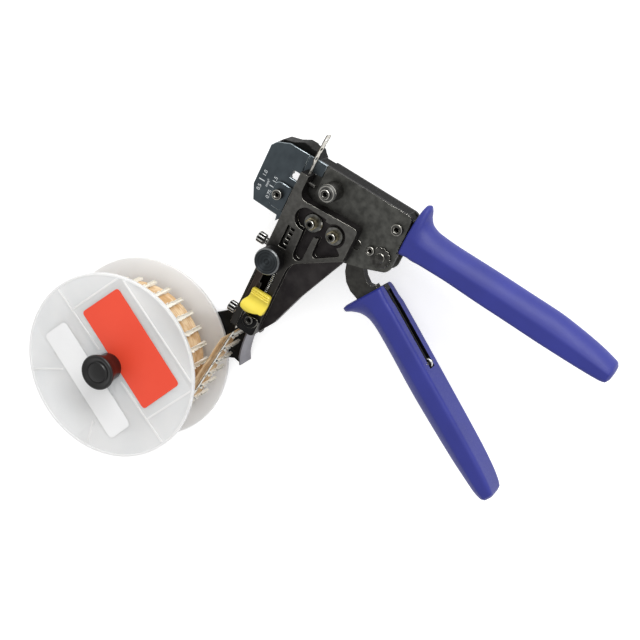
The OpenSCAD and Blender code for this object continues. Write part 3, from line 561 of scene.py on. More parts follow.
# %% Copy a node and break its edges
def bevel(made, name, width_mm, segments, degrees, **settings):
    """A Bevel modifier on the edges above that angle. A setting is a property of the modifier."""
    modifier = made.modifiers.new(name, "BEVEL")
    modifier.width, modifier.segments = width_mm * MM, segments
    modifier.limit_method, modifier.angle_limit = "ANGLE", math.radians(degrees)
    for setting, value in settings.items():
        setattr(modifier, setting, value)


def dress(node, finish, edge, width_mm=0.25, sharp_degrees=32, zones=()):
    """A merged copy of a CAD node with bevelled edges, standing for that node."""
    mesh = frame["nodes"][node].data.copy()
    mesh.name = node + "_dressed"
    clean = bmesh.new()
    clean.from_mesh(mesh)
    bmesh.ops.remove_doubles(clean, verts=clean.verts, dist=0.002 * MM)
    bmesh.ops.dissolve_limit(clean, angle_limit=math.radians(0.6), verts=clean.verts, edges=clean.edges)
    clean.to_mesh(mesh)
    clean.free()
    mesh.materials.clear()
    for material in (finish, edge):
        mesh.materials.append(material)
    paint(mesh, zones)
    shade(mesh, sharp_degrees)
    made = put(node + "_dressed", mesh)
    bevel(made, "broken edges", width_mm, 1, sharp_degrees, material=1, mark_sharp=True)
    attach(made, body_of_node[node])
    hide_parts(node)
    return made


print("helpers for dressed nodes are ready")

# %% Plates
# Finish, finish of the edges and bevel in mm, for plates whose upright sides get painted shade
plates = {"front_cheek": (burnished_steel, worn_edge_painted_highlight, 0.6), "rear_cheek": (burnished_steel, dark_steel, 0.4),
          "ram": (burnished_steel, rubbed_edge_painted_highlight, 0.2), "handle_lever": (lever_steel, rubbed_edge_painted_highlight, 0.35),
          "adjusting_dial": (black_oxide, polished_rim_painted_highlight, 0.12)}
for node, (finish, edge, width) in plates.items():
    dress(node, finish, edge, width, zones=[(upright_faces, painted_shade_steel)])

print(len(plates), "plates with painted shade on their sides")

# %% Bracket
BRACKET_FACE, BELOW_MM = 14.0, 0.1


def below_the_face(centres, normals):
    """A test for the bracket's faces that lie deeper than its top."""
    return centres[:, 2] < BRACKET_FACE - BELOW_MM


def in_the_groove(centres, normals):
    """A test for the walls and floor of the groove that the thumb slide runs in."""
    return (centres[:, 0] < -5.5) & (centres[:, 1] < -20) & (centres[:, 2] > 10) & below_the_face(centres, normals)


# The groove's walls and floor are painted near black as shade
dress("feeder_bracket", bracket_steel, rubbed_edge_painted_highlight, 0.35,
      zones=[(below_the_face, cast_floor), (in_the_groove, painted_shade_black)])
print("bracket's pockets lie more than", BELOW_MM, "mm under its face")

# %% Covers and dark parts
dress("strip_guide", grey_sheet, sheet_edge, 0.12)
dress("main_bolt", bolt_steel, polished_rim_painted_highlight, 0.2, zones=[(upright_faces, black_oxide)])
# The head frame's upright sides are painted near black as shade
dress("head_frame", dark_steel, dark_steel, 0.25, zones=[(upright_faces, painted_shade_black)])
for node in ["rail_back", "reel_arm"]:
    dress(node, dark_steel, dark_edge, 0.25)
dress("guide_block", dark_steel, rubbed_edge_painted_highlight, 0.25)
for node in ["head_cover", "bridge_cover"]:
    dress(node, cover_oxide, cover_edge_painted_highlight, 0.2)
# The tab's upright sides get painted shade
dress("locator_tab", cover_oxide, cover_edge_painted_highlight, 0.25, zones=[(upright_faces, painted_shade_steel)])
print("dressed covers, guides and dark parts")

# %% Screws with a hexagon socket
# Middle of each socket, its reach and the height of the screw's top, in drawing mm
STUDS = np.array([[-1.3, -16.2], [11.3, -16.2]])
sockets = {"locator_screw": ([-25.0, -14.2], 1.5, 10.2), "main_bolt_screw": (BOLT_AXIS, 1.5, 18.0),
           "cheek_screws": ([37.1, 2.5], 1.6, 8.0), "dial_lock_screw": ([30.0, -14.0], 1.3, 8.2)}
# Here and in the next screws, sockets are painted near black as shade, and chamfers brighter as a painted highlight
for node, (middle, reach, top_z) in sockets.items():
    dress(node, black_oxide, polished_rim_painted_highlight, 0.16,
          zones=[(sloping_faces, polished_rim_painted_highlight), (near(middle, reach, top_z - 1.6, top_z - 0.1), painted_shade_black)])
dress("block_screw", dark_steel, dark_edge, 0.16,
      zones=[(sloping_faces, rubbed_edge_painted_highlight), (near([-7.5, -77.4], 1.4, 16.3, 17.8), painted_shade_black)])
dress("feeder_screws", black_oxide, polished_rim_painted_highlight, 0.2,
      zones=[(sloping_faces, polished_rim_painted_highlight), (near(STUDS, 3.5, 11.1, 13.5), passivated_nut),
             (near(STUDS, 1.4, BRACKET_FACE - 0.2, BRACKET_FACE + 1.3), painted_shade_black)])
dress("feeder_washers", washer_steel, polished_rim_painted_highlight, 0.45)
print(len(sockets) + 3, "socket screws")

# %% Pins and small fittings
fittings = ["anvil_die", "window_leaf", "cheek_nuts", "eccentric_pin", "handle_pin", "stop_pin", "arm_screws",
            "reel_spindle", "crank_pin", "ram_die", "pawl", "spring_pin"]
for node in fittings:
    dress(node, black_oxide, polished_rim_painted_highlight, 0.15)
dress("slide_bar", painted_reflection_steel, dark_edge, 0.15)
print(len(fittings), "fittings dressed")

# %% [markdown]
# ## Knurled thumb screws
# Two chromed screws at the rail's left side hold its halves together. Their heads are fluted for
# the fingers, and the flutes and thread are painted black as shade between bright ridges. The radius
# is a function of the place along the screw and of the angle, which gives flutes and thread in one surface.

# %% Thumb screws
# Height of both axes, where the plain shank begins and ends along X, and its radius, in mm
SCREW_Z, SHANK_ENDS, SHANK_RADIUS = 8.0, (-17.6, -16.2), 1.45
# Depth of a flute, mean radius and depth of the thread, and its pitch
FLUTE_MM, THREAD_RADIUS, THREAD_MM, THREAD_PITCH = 0.42, 1.75, 0.22, 0.8


def thumb_screw(node, y, head_x, flutes=9, steps=126):
    """Rings round an axis along X. Radius is the profile less a flute that is a cosine of the angle,
    and on the neck it follows a sine along X, as a thread does."""
    neck = np.linspace(head_x + 4.8, SHANK_ENDS[0], 40)
    head = np.array([[0.0, 2.2, 0.0], [0.1, 2.5, 0.1], [0.45, 2.95, 0.8], [0.8, 3.0, 1.0], [3.9, 3.0, 1.0],
                     [4.2, 2.9, 0.6], [4.45, 2.5, 0.0], [4.5, 2.0, 0.0]])
    thread = np.column_stack([neck, THREAD_RADIUS + THREAD_MM * np.sin(2 * np.pi * neck / THREAD_PITCH), 0 * neck])
    shank = np.array([[end, SHANK_RADIUS, 0.0] for end in SHANK_ENDS])
    head[:, 0] += head_x
    x, radius, share = np.concatenate([head, thread, shank]).T[:, :, None]
    angle = whole_turn(steps)[None, :]
    radius = radius - FLUTE_MM * share * (0.5 + 0.5 * np.cos(flutes * angle))
    rings = np.stack([x + 0 * angle, y + radius * np.cos(angle), SCREW_Z + radius * np.sin(angle)], axis=-1)
    made = piece(node + "_turned", *skin(rings), body_of_node[node], "zinc_steel", chrome)

    def in_a_hollow(centres, normals):
        """A test for faces that lie deep in a flute or in the thread."""
        from_axis = np.hypot(centres[:, 1] - y, centres[:, 2] - SCREW_Z)
        on_head = centres[:, 0] < head_x + 4.3
        return np.where(on_head, (from_axis < 2.8) & (centres[:, 0] > head_x + 0.4), from_axis < 1.7)

    # Flutes and thread roots are painted black as shade
    paint(made.data, [(in_a_hollow, painted_shade_black)])
    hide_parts(node)


thumb_screw("upper_thumb_screw", -38.9, -25.2)
thumb_screw("lower_thumb_screw", -80.1, -23.5)
print("two thumb screws")

# %% [markdown]
# ## Moulded grips
# A grip is a long plastic sleeve: flat towards the palm gap, with straight sides up to a soft
# crease and a rounded crown above it, and a thumb stop that swells at the head end. A lofted
# subdivision mesh could do it, but the crease would wander, so the section is written out as
# pieces of line and arc whose sizes follow the stations along the grip.

# %% Stations along the grips
# Distance along the grip, flat side, crowned side, half width, height of the crease, all in mm
UPPER_STATIONS = np.array([
    [0.0, -7.7, 16.5, 7.5, 3.6], [0.8, -7.6, 19.0, 8.6, 3.6], [2.5, -7.3, 19.9, 9.1, 3.4],
    [3.8, -7.0, 18.4, 9.3, 3.2], [5.2, -6.8, 14.6, 9.5, 3.0], [7.7, -6.5, 11.0, 9.5, 2.6],
    [12.7, -6.2, 9.2, 9.5, 2.2], [24.7, -6.1, 8.4, 9.5, 1.8], [45.2, -6.9, 8.2, 9.3, 1.4],
    [65.2, -7.4, 7.7, 9.2, 0.8], [80.7, -7.6, 7.0, 9.0, 0.2], [95.9, -7.8, 5.3, 8.8, -0.8],
    [106.2, -7.9, 3.6, 8.4, -1.8], [113.2, -7.8, 1.9, 8.0, -2.6], [116.6, -7.3, 0.8, 7.4, -3.0],
    [117.6, -6.7, 0.1, 6.7, -3.0]])
LOWER_STATIONS = np.array([
    [0.0, -3.0, 21.5, 7.5, 8.0], [0.8, -3.1, 23.6, 8.6, 8.0], [2.4, -3.2, 23.4, 9.1, 7.8],
    [4.2, -3.2, 20.0, 9.4, 7.4], [7.5, -3.2, 15.6, 9.5, 6.6], [12.5, -3.2, 12.4, 9.5, 5.8],
    [19.0, -3.2, 11.6, 9.5, 5.4], [29.0, -3.2, 11.5, 9.5, 5.2], [52.0, -3.2, 11.2, 9.3, 5.0],
    [75.0, -3.2, 10.6, 9.1, 4.8], [92.0, -3.1, 9.8, 8.9, 4.6], [105.0, -2.6, 8.7, 8.6, 4.4],
    [112.0, -1.9, 8.0, 8.2, 4.2], [116.6, -0.9, 7.3, 7.5, 4.0], [117.8, 0.0, 6.6, 6.6, 4.0]])
# The moulded skin is this much fuller than the solid under it, behind the thumb stop, in mm. Flat side
# and crown of the upper grip's tail have some more, and so has the crown of the lower grip's rear half
FULLER = np.array([0.0, -0.35, 0.45, 0.45, 0.0])
FULLER_TAIL, FULLER_CROWN = np.array([-0.3, 0.35]), 0.7
UPPER_STATIONS[5:-1] += FULLER
LOWER_STATIONS[5:-1] += FULLER
UPPER_STATIONS[10:-1, 1:3] += FULLER_TAIL
LOWER_STATIONS[8:-2, 2] += FULLER_CROWN
print("grips are", UPPER_STATIONS[-1, 0], "and", LOWER_STATIONS[-1, 0], "mm long")


# %% Rows between the stations
def along_stations(stations, steps=7):
    """Fills in rows between stations with a cubic whose slopes never overshoot the stations."""
    u = stations[:, 0]
    rows = np.concatenate([np.linspace(a, b, steps, endpoint=False) for a, b in zip(u[:-1], u[1:])] + [u[-1:]])
    gap = np.diff(u)[:, None]
    rise = np.diff(stations[:, 1:], axis=0) / gap
    slope = np.zeros_like(stations[:, 1:])
    same_way = rise[:-1] * rise[1:] > 0
    slope[1:-1] = np.where(same_way, 2 * rise[:-1] * rise[1:] / np.where(same_way, rise[:-1] + rise[1:], 1), 0)
    slope[0], slope[-1] = rise[0], rise[-1]
    i = np.clip(np.searchsorted(u, rows, side="right") - 1, 0, len(u) - 2)
    h = gap[i]
    t = ((rows - u[i])[:, None]) / h
    low, high = stations[i, 1:], stations[i + 1, 1:]
    values = ((1 + 2 * t) * (1 - t) ** 2 * low + t * (1 - t) ** 2 * h * slope[i]
              + t * t * (3 - 2 * t) * high + t * t * (t - 1) * h * slope[i + 1])
    return rows, values


print("upper grip has", len(along_stations(UPPER_STATIONS)[0]), "rows")


# %% Section of a grip
def grip_rings(stations, corner_mm=2.2, crown_degrees=60):
    """Rings (rows, columns, 3) as distance along, height and width. Going round: flat side, corner arc,
    straight side to the crease, crown as an arc of an ellipse, and back down the other side."""
    u, values = along_stations(stations)
    flat_v, crown_v, half, crease = (values[:, i : i + 1] for i in range(4))
    crown_end = math.radians(crown_degrees)
    flat = np.linspace(-1, 1, 15)[None, :]
    bend = np.linspace(0, np.pi / 2, 8)[None, 1:]
    rise = np.linspace(0, 1, 7)[None, 1:]
    sweep = np.linspace(crown_end, -crown_end, 41)[None, 1:]
    corner = np.minimum(corner_mm, 0.4 * half)
    width = [flat * (half - corner), half - corner + corner * np.sin(bend), half + 0 * rise,
             half * np.sin(sweep) / math.sin(crown_end)]
    height = [flat_v + 0 * flat, flat_v + corner - corner * np.cos(bend),
              flat_v + corner + (crease - flat_v - corner) * rise,
              crease + (crown_v - crease) * (np.cos(sweep) - math.cos(crown_end)) / (1 - math.cos(crown_end))]
    width += [-width[2][:, ::-1][:, 1:], -width[1][:, ::-1]]
    height += [height[2][:, ::-1][:, 1:], height[1][:, ::-1]]
    width, height = np.concatenate(width, axis=1), np.concatenate(height, axis=1)
    return np.stack([u[:, None] + 0 * width, height, width], axis=-1)


print("each ring of the grip has", grip_rings(UPPER_STATIONS).shape[1], "points")


# %% Upper grip with domed ends
def domed_ends(rings, head_mm=0.0, tip_mm=0.6, steps=5):
    """Adds smaller rings past each end, whose scale is a cosine and whose step outwards is a sine."""
    parts = [rings]
    for end, reach, sign in ((0, head_mm, -1), (-1, tip_mm, 1)):
        phase = np.linspace(0, np.pi / 2, steps + 1)[1:, None, None]
        middle = rings[end].mean(axis=0)
        dome = middle + (rings[end] - middle) * np.cos(phase)
        dome[:, :, 0] = rings[end][:, 0] + sign * reach * np.sin(phase[:, :, 0])
        parts = parts + [dome] if sign > 0 else [dome[::-1]] + parts
    return np.concatenate(parts)


UPPER_START = 42.8
upper = domed_ends(grip_rings(UPPER_STATIONS))
upper[:, :, 0] += UPPER_START
upper_grip = piece("upper_grip_moulded", *skin(upper), "frame", "grip_plastic", grip_plastic)
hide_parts("upper_grip")
print("upper grip has", len(upper_grip.data.polygons), "faces")

# %% [markdown]
# ## Lower grip
# The lower grip has the same section the other way up and a square-ended slot in its flat
# side, open at the head end, where the return spring's rod lies. The slot is cut with a Boolean
# and its rim then gets a small bevel. Its walls are painted black as shade, since no light gets in.

# %% Axes of the lower grip
LOWER_AT = np.array([41.3, -30.2])
LOWER_TURN = math.radians(-31.2)


def on_lower(points):
    """From the lower grip's own axes (along, outwards, width) to the drawing: turned, and outwards points down."""
    along, out, width = points[..., 0], -points[..., 1], points[..., 2]
    x = LOWER_AT[0] + along * math.cos(LOWER_TURN) - out * math.sin(LOWER_TURN)
    y = LOWER_AT[1] + along * math.sin(LOWER_TURN) + out * math.cos(LOWER_TURN)
    return np.stack([x, y, width], axis=-1)


print("lower grip is turned by", round(math.degrees(LOWER_TURN), 1), "degrees")


# %% Cut with a Boolean
def baked(made):
    """The mesh that an object shows once its modifiers or its text are worked out."""
    bpy.context.view_layer.update()
    return bpy.data.meshes.new_from_object(made.evaluated_get(bpy.context.evaluated_depsgraph_get()))


def cut(made, points, faces, inside):
    """Takes a closed shape out of a piece with an exact Boolean, and gives the new walls the material inside."""
    tool_mesh = mesh_of("cutter", points, faces)
    tool_mesh.materials.append(inside)
    face_outwards(tool_mesh)
    tool = put("cutter", tool_mesh)
    slot_cut = made.modifiers.new("cut", "BOOLEAN")
    slot_cut.object = tool
    slot_cut.solver = "EXACT"
    slot_cut.material_mode = "TRANSFER"
    result, old = baked(made), made.data
    made.modifiers.clear()
    made.data = result
    bpy.data.meshes.remove(old)
    bpy.data.objects.remove(tool)
    return made


print("helpers for cutting are ready")

# %% Lower grip with its slot
lower = domed_ends(grip_rings(LOWER_STATIONS))
lower_grip = piece("lower_grip_moulded", *skin(on_lower(lower)), "handle", "grip_plastic", grip_plastic)
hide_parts("lower_grip")
SLOT_ENDS, SLOT_HALF, SLOT_FLOOR = (-2.0, 47.5), 3.0, 2.3
corners = np.array([[u, v, w] for v in (-6.0, SLOT_FLOOR) for u, w in (
    (SLOT_ENDS[0], -SLOT_HALF), (SLOT_ENDS[1], -SLOT_HALF), (SLOT_ENDS[1], SLOT_HALF), (SLOT_ENDS[0], SLOT_HALF))])
# The slot's walls take the phosphated black as painted shade
cut(lower_grip, *skin(on_lower(corners.reshape(2, 4, 3))), dark_steel)
shade(lower_grip.data, 40)
bevel(lower_grip, "rim", 0.3, 3, 50, harden_normals=True)
print("lower grip has", len(lower_grip.data.polygons), "faces")

# %% [markdown]
# ## Yellow thumb slide
# The slide is moulded to the thumb: fine ridges at the head end, a scoop in the middle, and a
# rounded lip that swells at the lower left. It is a height field over a closed outline: each
# point is given by its angle and by how far it lies between the middle and the outline.

# %% Outline of the thumb slide
SLIDE_OUTLINE = np.array([
    [-2.7, -60.9], [-2.3, -62.5], [-2.1, -66.0], [-2.2, -69.8], [-2.7, -71.6], [-4.4, -71.8], [-6.4, -72.8],
    [-9.4, -74.0], [-12.1, -74.3], [-14.4, -73.3], [-15.4, -71.4], [-15.2, -69.2], [-13.9, -66.8],
    [-13.3, -63.9], [-13.4, -61.6], [-12.7, -60.7], [-8.5, -60.5], [-4.0, -60.4]])
SLIDE_MIDDLE = np.array([-8.4, -67.0])
def closed_curve(corners, steps=10):
    """A closed curve through the corners: between two of them a cubic whose slopes come from their neighbours."""
    t = np.linspace(0, 1, steps, endpoint=False)[None, :, None]
    before, here, after, beyond = (np.roll(corners, k, axis=0)[:, None, :] for k in (1, 0, -1, -2))
    curve = 0.5 * (2 * here + (after - before) * t + (2 * before - 5 * here + 4 * after - beyond) * t**2
                   + (3 * here - before - 3 * after + beyond) * t**3)
    return curve.reshape(-1, 2)


outline = closed_curve(SLIDE_OUTLINE)
print("slide's outline has", len(outline), "points")

# %% Height of the thumb slide
# Height of the slide's foot in the drawing, of its pad over that, and depth of scoop and ridges, in mm
SLIDE_FOOT, PAD_MM, SCOOP_MM = 14.3, 2.6, 0.75
RIDGE_MM, RIDGE_PITCH = 0.26, 1.15


def step_up(value, start, end):
    """Smooth step from 0 at start to 1 at end."""
    t = np.clip((value - start) / (end - start), 0, 1)
    return t * t * (3 - 2 * t)


def slide_height(x, y):
    """Top of the slide: a flat pad plus a cosine for its ridges, less a scoop, plus a lip that is highest at
    the lower left. Smooth steps along Y fade each of them in and out."""
    on_pad = step_up(y, -64.5, -63.9) * step_up(y, -60.2, -60.8)
    ridges = RIDGE_MM * on_pad * np.cos(2 * np.pi * (y + 61.4) / RIDGE_PITCH)
    scoop = -SCOOP_MM * step_up(y, -63.8, -65.4)
    lip = (2.0 + 0.5 * step_up(x, -5.0, -11.0)) * step_up(y, -66.6, -71.6) - 0.9 * step_up(y, -72.4, -74.2)
    return SLIDE_FOOT + PAD_MM + ridges + scoop + lip


print("slide is", round(float(slide_height(*SLIDE_MIDDLE) - SLIDE_FOOT), 2), "mm high at its middle")

# %% Thumb slide
# Share of the way from the middle to the outline, and share of the full height there: the rounded wall
wall = np.array([[0.9, 0.0], [0.97, 0.0], [1.0, 0.15], [1.0, 0.68], [0.988, 0.83], [0.96, 0.94], [0.92, 0.99]])
inner = np.linspace(0.89, 0.0, 40)
share = np.concatenate([wall[:, 0], inner])[:, None, None]
rise = np.concatenate([wall[:, 1], np.ones_like(inner)])[:, None]
flat_points = SLIDE_MIDDLE + (outline[None] - SLIDE_MIDDLE) * share
top = slide_height(flat_points[..., 0], flat_points[..., 1])
height = SLIDE_FOOT + (top - SLIDE_FOOT) * rise
slide_rings = np.concatenate([flat_points, height[..., None]], axis=-1)
thumb_slide = piece("thumb_slide_moulded", *skin(slide_rings), "feed_slide", "yellow_plastic", yellow_acetal)
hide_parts("thumb_slide")
print("thumb slide stands", round(float(height.max() - SLIDE_FOOT), 2), "mm over the rail")

# %% [markdown]
# ## Knobs
# Both knobs are turned, so a profile of radius and height gives them. The clamp knob's face is
# faced off in rings and slightly dished, with a bright chamfer. The reel knob is moulded, with
# a rolled rim and a recess.


# %% Clamp knob
def turned(profile, axis, steps=96):
    """A profile of (radius, height) pairs turned about a vertical axis: radius goes round as cosine and sine."""
    profile = np.asarray(profile, float)
    angle = whole_turn(steps)[None, :]
    radius, height = profile[:, :1], profile[:, 1:] + 0 * angle
    rings = np.stack([axis[0] + radius * np.cos(angle), axis[1] + radius * np.sin(angle), height], axis=-1)
    return skin(rings)


clamp_profile = [
    [0, 9.4], [1.5, 9.4], [1.5, 14.3], [4.5, 14.3], [4.5, 16.4], [6.4, 16.9], [7.0, 17.5], [7.0, 22.8],
    [6.9, 23.2], [6.45, 23.85], [6.2, 24.0], [5.9, 23.95], [3.0, 23.6], [0.8, 23.45], [0, 23.4]]
# The chamfer is what lies above this height and leans more than the dished face does
CHAMFER_FOOT, DISHED = 22.7, 0.93


def on_the_chamfer(centres, normals):
    """A test for the faces of the knob's chamfer."""
    return (centres[:, 2] > CHAMFER_FOOT) & (normals[:, 2] < DISHED)


clamp_knob = piece("clamp_knob_turned", *turned(clamp_profile, KNOB_AXIS), "clamp", "turned_steel", knob_steel)
# The knob's upright side gets painted shade
paint(clamp_knob.data, [(on_the_chamfer, knob_rim), (upright_faces, painted_shade_steel)])
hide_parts("clamp_knob")
print("clamp knob has", len(clamp_knob.data.polygons), "faces")

# %% Reel knob
REEL_AXIS = np.array([-63.9, -142.0])
REEL_FRONT, KNOB_GAP, KNOB_TOP = 24.2, 0.3, 37.4
knob_foot = REEL_FRONT + KNOB_GAP
turn = np.radians(np.linspace(-90, 90, 13))
rolled_rim = [[8.55 + 1.05 * np.cos(a), 36.1 + 1.2 * np.sin(a)] for a in turn]
knob_profile = [[5.05, knob_foot], [7.3, knob_foot], [7.5, knob_foot + 5.2], [8.2, knob_foot + 6.6]]
knob_profile += rolled_rim + [[7.6, 37.1], [6.6, 36.4], [5.9, 36.2], [5.6, 36.35], [5.2, 36.9], [4.2, 37.2],
                              [2.0, 37.35], [0, KNOB_TOP], [0, knob_foot + 6.3], [5.05, knob_foot + 6.3],
                              [5.05, knob_foot]]
reel_knob = piece("reel_knob_moulded", *turned(knob_profile, REEL_AXIS), "spindle_knob", "black_plastic",
                  black_phenolic)
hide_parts("reel_knob")
print("reel knob stands", round(KNOB_TOP - REEL_FRONT, 1), "mm over the flange")

# %% [markdown]
# ## Reel
# The flanges are the CAD discs with their moulded lines and a small bevel. Two labels lie on
# the front one, inside the moulded lines: an orange one and a plain white one. Each is a thin
# card with rounded corners.

# %% Flanges and hub
# Rib tops take the lighter polystyrene as a painted highlight
dress("reel_front_flange", reel_styrene, painted_light_styrene, 0.2,
      zones=[(lambda centres, normals: centres[:, 2] > REEL_FRONT + 0.1, painted_light_styrene)])
# The rear flange and the hub are painted lighter, as painted light where the front flange shades them
for node in ["reel_rear_flange", "reel_hub"]:
    dress(node, painted_light_styrene, painted_light_styrene, 0.2)
print("two flanges and their hub")


# %% Labels
def unit(vector):
    """The vector divided by its own length."""
    return vector / np.linalg.norm(vector)


def label(name, corners, radius, slot, material, thickness=0.12, lift=0.03):
    """A card through four corners about the reel's axis; each corner is an arc of that radius."""
    corners = np.asarray(corners, float)
    arc = np.linspace(0, 1, 7)[:, None]
    outline = []
    for before, here, after in zip(np.roll(corners, 1, axis=0), corners, np.roll(corners, -1, axis=0)):
        start, end = here + radius * unit(before - here), here + radius * unit(after - here)
        outline.append((1 - arc) ** 2 * start + 2 * arc * (1 - arc) * here + arc**2 * end)
    outline = REEL_AXIS + np.concatenate(outline)
    z = REEL_FRONT + lift
    rings = np.stack([np.column_stack([outline, np.full(len(outline), z + h)]) for h in (0, thickness)])
    return piece(name, *skin(rings), "reel", slot, material)


ORANGE_CORNERS = [[-13.3, 42.1], [39.6, 14.7], [27.5, -10.2], [-26.5, 18]]
WHITE_CORNERS = [[-33.8, 7.4], [24.4, -22.9], [17.6, -37.6], [-41.3, -7.0]]
label("orange_label", ORANGE_CORNERS, 2.2, "reel_plastic", orange_label)
label("white_label", WHITE_CORNERS, 3.0, "reel_plastic", white_label)
print("two labels")

# %% [markdown]
# ## Terminals on their carrier
# The stock is a ladder stamped from thin bronze: a carrier ribbon with a pilot hole at each
# pitch, and open terminals hanging from one edge. One terminal is a strip of metal folded up,
# so its section is a U whose walls rise and fall along its length. The same terminal is placed
# many times by whole-array transforms, on the straight strip and round the reel.

# %% One terminal
SHEET = 0.24
# Distance from the carrier, half width of the floor, height of the walls, lean of the walls inwards
FOLDS = np.array([
    [0.0, 0.7, 0.02, 0.0], [0.7, 0.7, 0.02, 0.0], [0.9, 1.25, 1.4, -0.3], [2.8, 1.25, 1.4, -0.3],
    [3.1, 1.0, 0.5, 0.0], [3.9, 1.0, 0.5, 0.0], [4.2, 1.15, 1.35, -0.1], [7.2, 1.15, 1.35, -0.1],
    [7.5, 0.9, 0.5, 0.0], [8.5, 0.9, 0.6, 0.0], [8.9, 1.25, 1.4, 0.25], [16.3, 1.25, 1.4, 0.25],
    [17.0, 1.0, 1.1, 0.2], [17.4, 0.6, 0.7, 0.1]])


def terminal():
    """Rings (stations, 8, 3) in the terminal's own axes: across the strip, out of it, and along its length."""
    s, half, wall, lean = FOLDS.T[:, :, None]
    across = np.concatenate([-half + lean, -half, half, half - lean,
                             half - lean - SHEET, half - SHEET, -half + SHEET, -half + lean + SHEET], axis=1)
    out = np.concatenate([wall, 0 * wall, 0 * wall, wall, wall,
                          np.minimum(SHEET, wall + 0.01), np.minimum(SHEET, wall + 0.01), wall], axis=1)
    return skin(np.stack([across, out, -s + 0 * across], axis=-1))


one_points, one_faces = terminal()
in_the_fold = np.array([{i % 8 for i in face} == {5, 6} for face in one_faces])
print("one terminal has", len(one_faces), "faces, and", in_the_fold.sum(), "look into its fold")


# %% Copies along a path
def repeat(points, faces, moved):
    """The same faces for every copy in moved (copies, points, 3)."""
    step = len(points)
    all_faces = [[i + k * step for i in face] for k in range(len(moved)) for face in faces]
    return moved.reshape(-1, 3), all_faces


def joined(first, second):
    """Points and faces of two shapes as one: the second's faces number their points after the first's."""
    offset = len(first[0])
    return np.concatenate([first[0], second[0]]), first[1] + [[i + offset for i in face] for face in second[1]]


def along_path(points, places, directions, top):
    """Copies of local points at each place in the X-Y plane: across follows the direction, out its left side."""
    places, directions = np.asarray(places, float), np.asarray(directions, float)
    normals = np.stack([-directions[:, 1], directions[:, 0]], axis=-1)
    flat = (places[:, None, :] + points[None, :, 0:1] * directions[:, None, :]
            + points[None, :, 1:2] * normals[:, None, :])
    height = np.broadcast_to(top + points[None, :, 2:3], flat.shape[:2] + (1,))
    return np.concatenate([flat, height], axis=-1)


print("helpers for copies are ready")

# %% Carrier ribbon with pilot holes
PITCH = 9.0
CARRIER_HEIGHT = 4.0
CARRIER_Z = 6.3


def carrier_cell(length, height=CARRIER_HEIGHT, hole=0.9, border=0.5, steps=24):
    """One pitch of ribbon: on both faces rings run from the round hole to the border and on to the square edge."""
    angle = whole_turn(steps) + np.pi / 4
    circle = np.stack([hole * np.cos(angle), hole * np.sin(angle)], axis=-1)
    reach = np.maximum(np.abs(np.cos(angle)) / (length / 2), np.abs(np.sin(angle)) / (height / 2))
    square = np.stack([np.cos(angle) / reach, np.sin(angle) / reach], axis=-1)
    inset = square * [1, 1 - 2 * border / height]
    loops = [(circle, 0.0), (inset, 0.0), (square, 0.0), (square, SHEET), (inset, SHEET), (circle, SHEET)]
    rings = np.stack([np.stack([flat[:, 0], np.full(steps, out), flat[:, 1] + height / 2], axis=-1)
                      for flat, out in loops])
    finish_of = np.repeat([0, 1, 1, 1, 0, 1], steps)
    return rings.reshape(-1, 3), ring_faces(6, steps, closed_rows=True).tolist(), finish_of


cell_points, cell_faces, cell_finish = carrier_cell(PITCH)
print("one cell of ribbon has", len(cell_faces), "faces")

# %% Terminals on the rail and on the slope
RAIL_X = -14.9
STRIP_LOW = REEL_AXIS + np.array([42.7, -4.0])
RAIL_BOTTOM = np.array([RAIL_X, -88.6])
slope = unit(RAIL_BOTTOM - STRIP_LOW)
DOWN_THE_RAIL = np.array([0.0, -1.0])
RAIL_COUNT, SLOPE_COUNT = 7, 6
# Y of the uppermost terminal and of the lowest cell of ribbon on the rail, and how far up the slope the
# first one of each kind is, in mm
TOP_TERMINAL_Y, LOW_CELL_Y, FIRST_TERMINAL, FIRST_CELL = -32.0, -85.0, 5.4, 4.5


def strip_ways(on_rail):
    """Directions for that many copies on the rail and those on the slope, all pointing towards the reel."""
    return np.concatenate([np.tile(DOWN_THE_RAIL, (on_rail, 1)), np.tile(-slope, (SLOPE_COUNT, 1))])


straight = np.array([[RAIL_X, TOP_TERMINAL_Y - i * PITCH] for i in range(RAIL_COUNT)])
sloping = np.array([STRIP_LOW + slope * (FIRST_TERMINAL + i * PITCH) for i in range(SLOPE_COUNT)])
places = np.concatenate([straight, sloping])
directions = strip_ways(RAIL_COUNT)
hanging = along_path(one_points, places, directions, CARRIER_Z)
strip_points, strip_faces = repeat(one_points, one_faces, hanging)
# Faces that look into each fold get painted shade
strip_terminals = piece("strip_terminals", strip_points, strip_faces, "frame", "tinned_strip", dull_tin,
                        painted_shade_bronze, finish_of=np.tile(in_the_fold, len(places)))
print("strip carries", len(places), "terminals")

# %% Ribbon along the rail, and its empty tail
RIBBON_COUNT = 11
ribbon_y = np.array([LOW_CELL_Y + i * PITCH for i in range(RIBBON_COUNT)])
ribbon_places = np.concatenate([np.column_stack([np.full(RIBBON_COUNT, RAIL_X), ribbon_y]),
                                [STRIP_LOW + slope * (FIRST_CELL + i * PITCH) for i in range(SLOPE_COUNT)]])
ribbon = along_path(cell_points, ribbon_places, strip_ways(RIBBON_COUNT), CARRIER_Z)

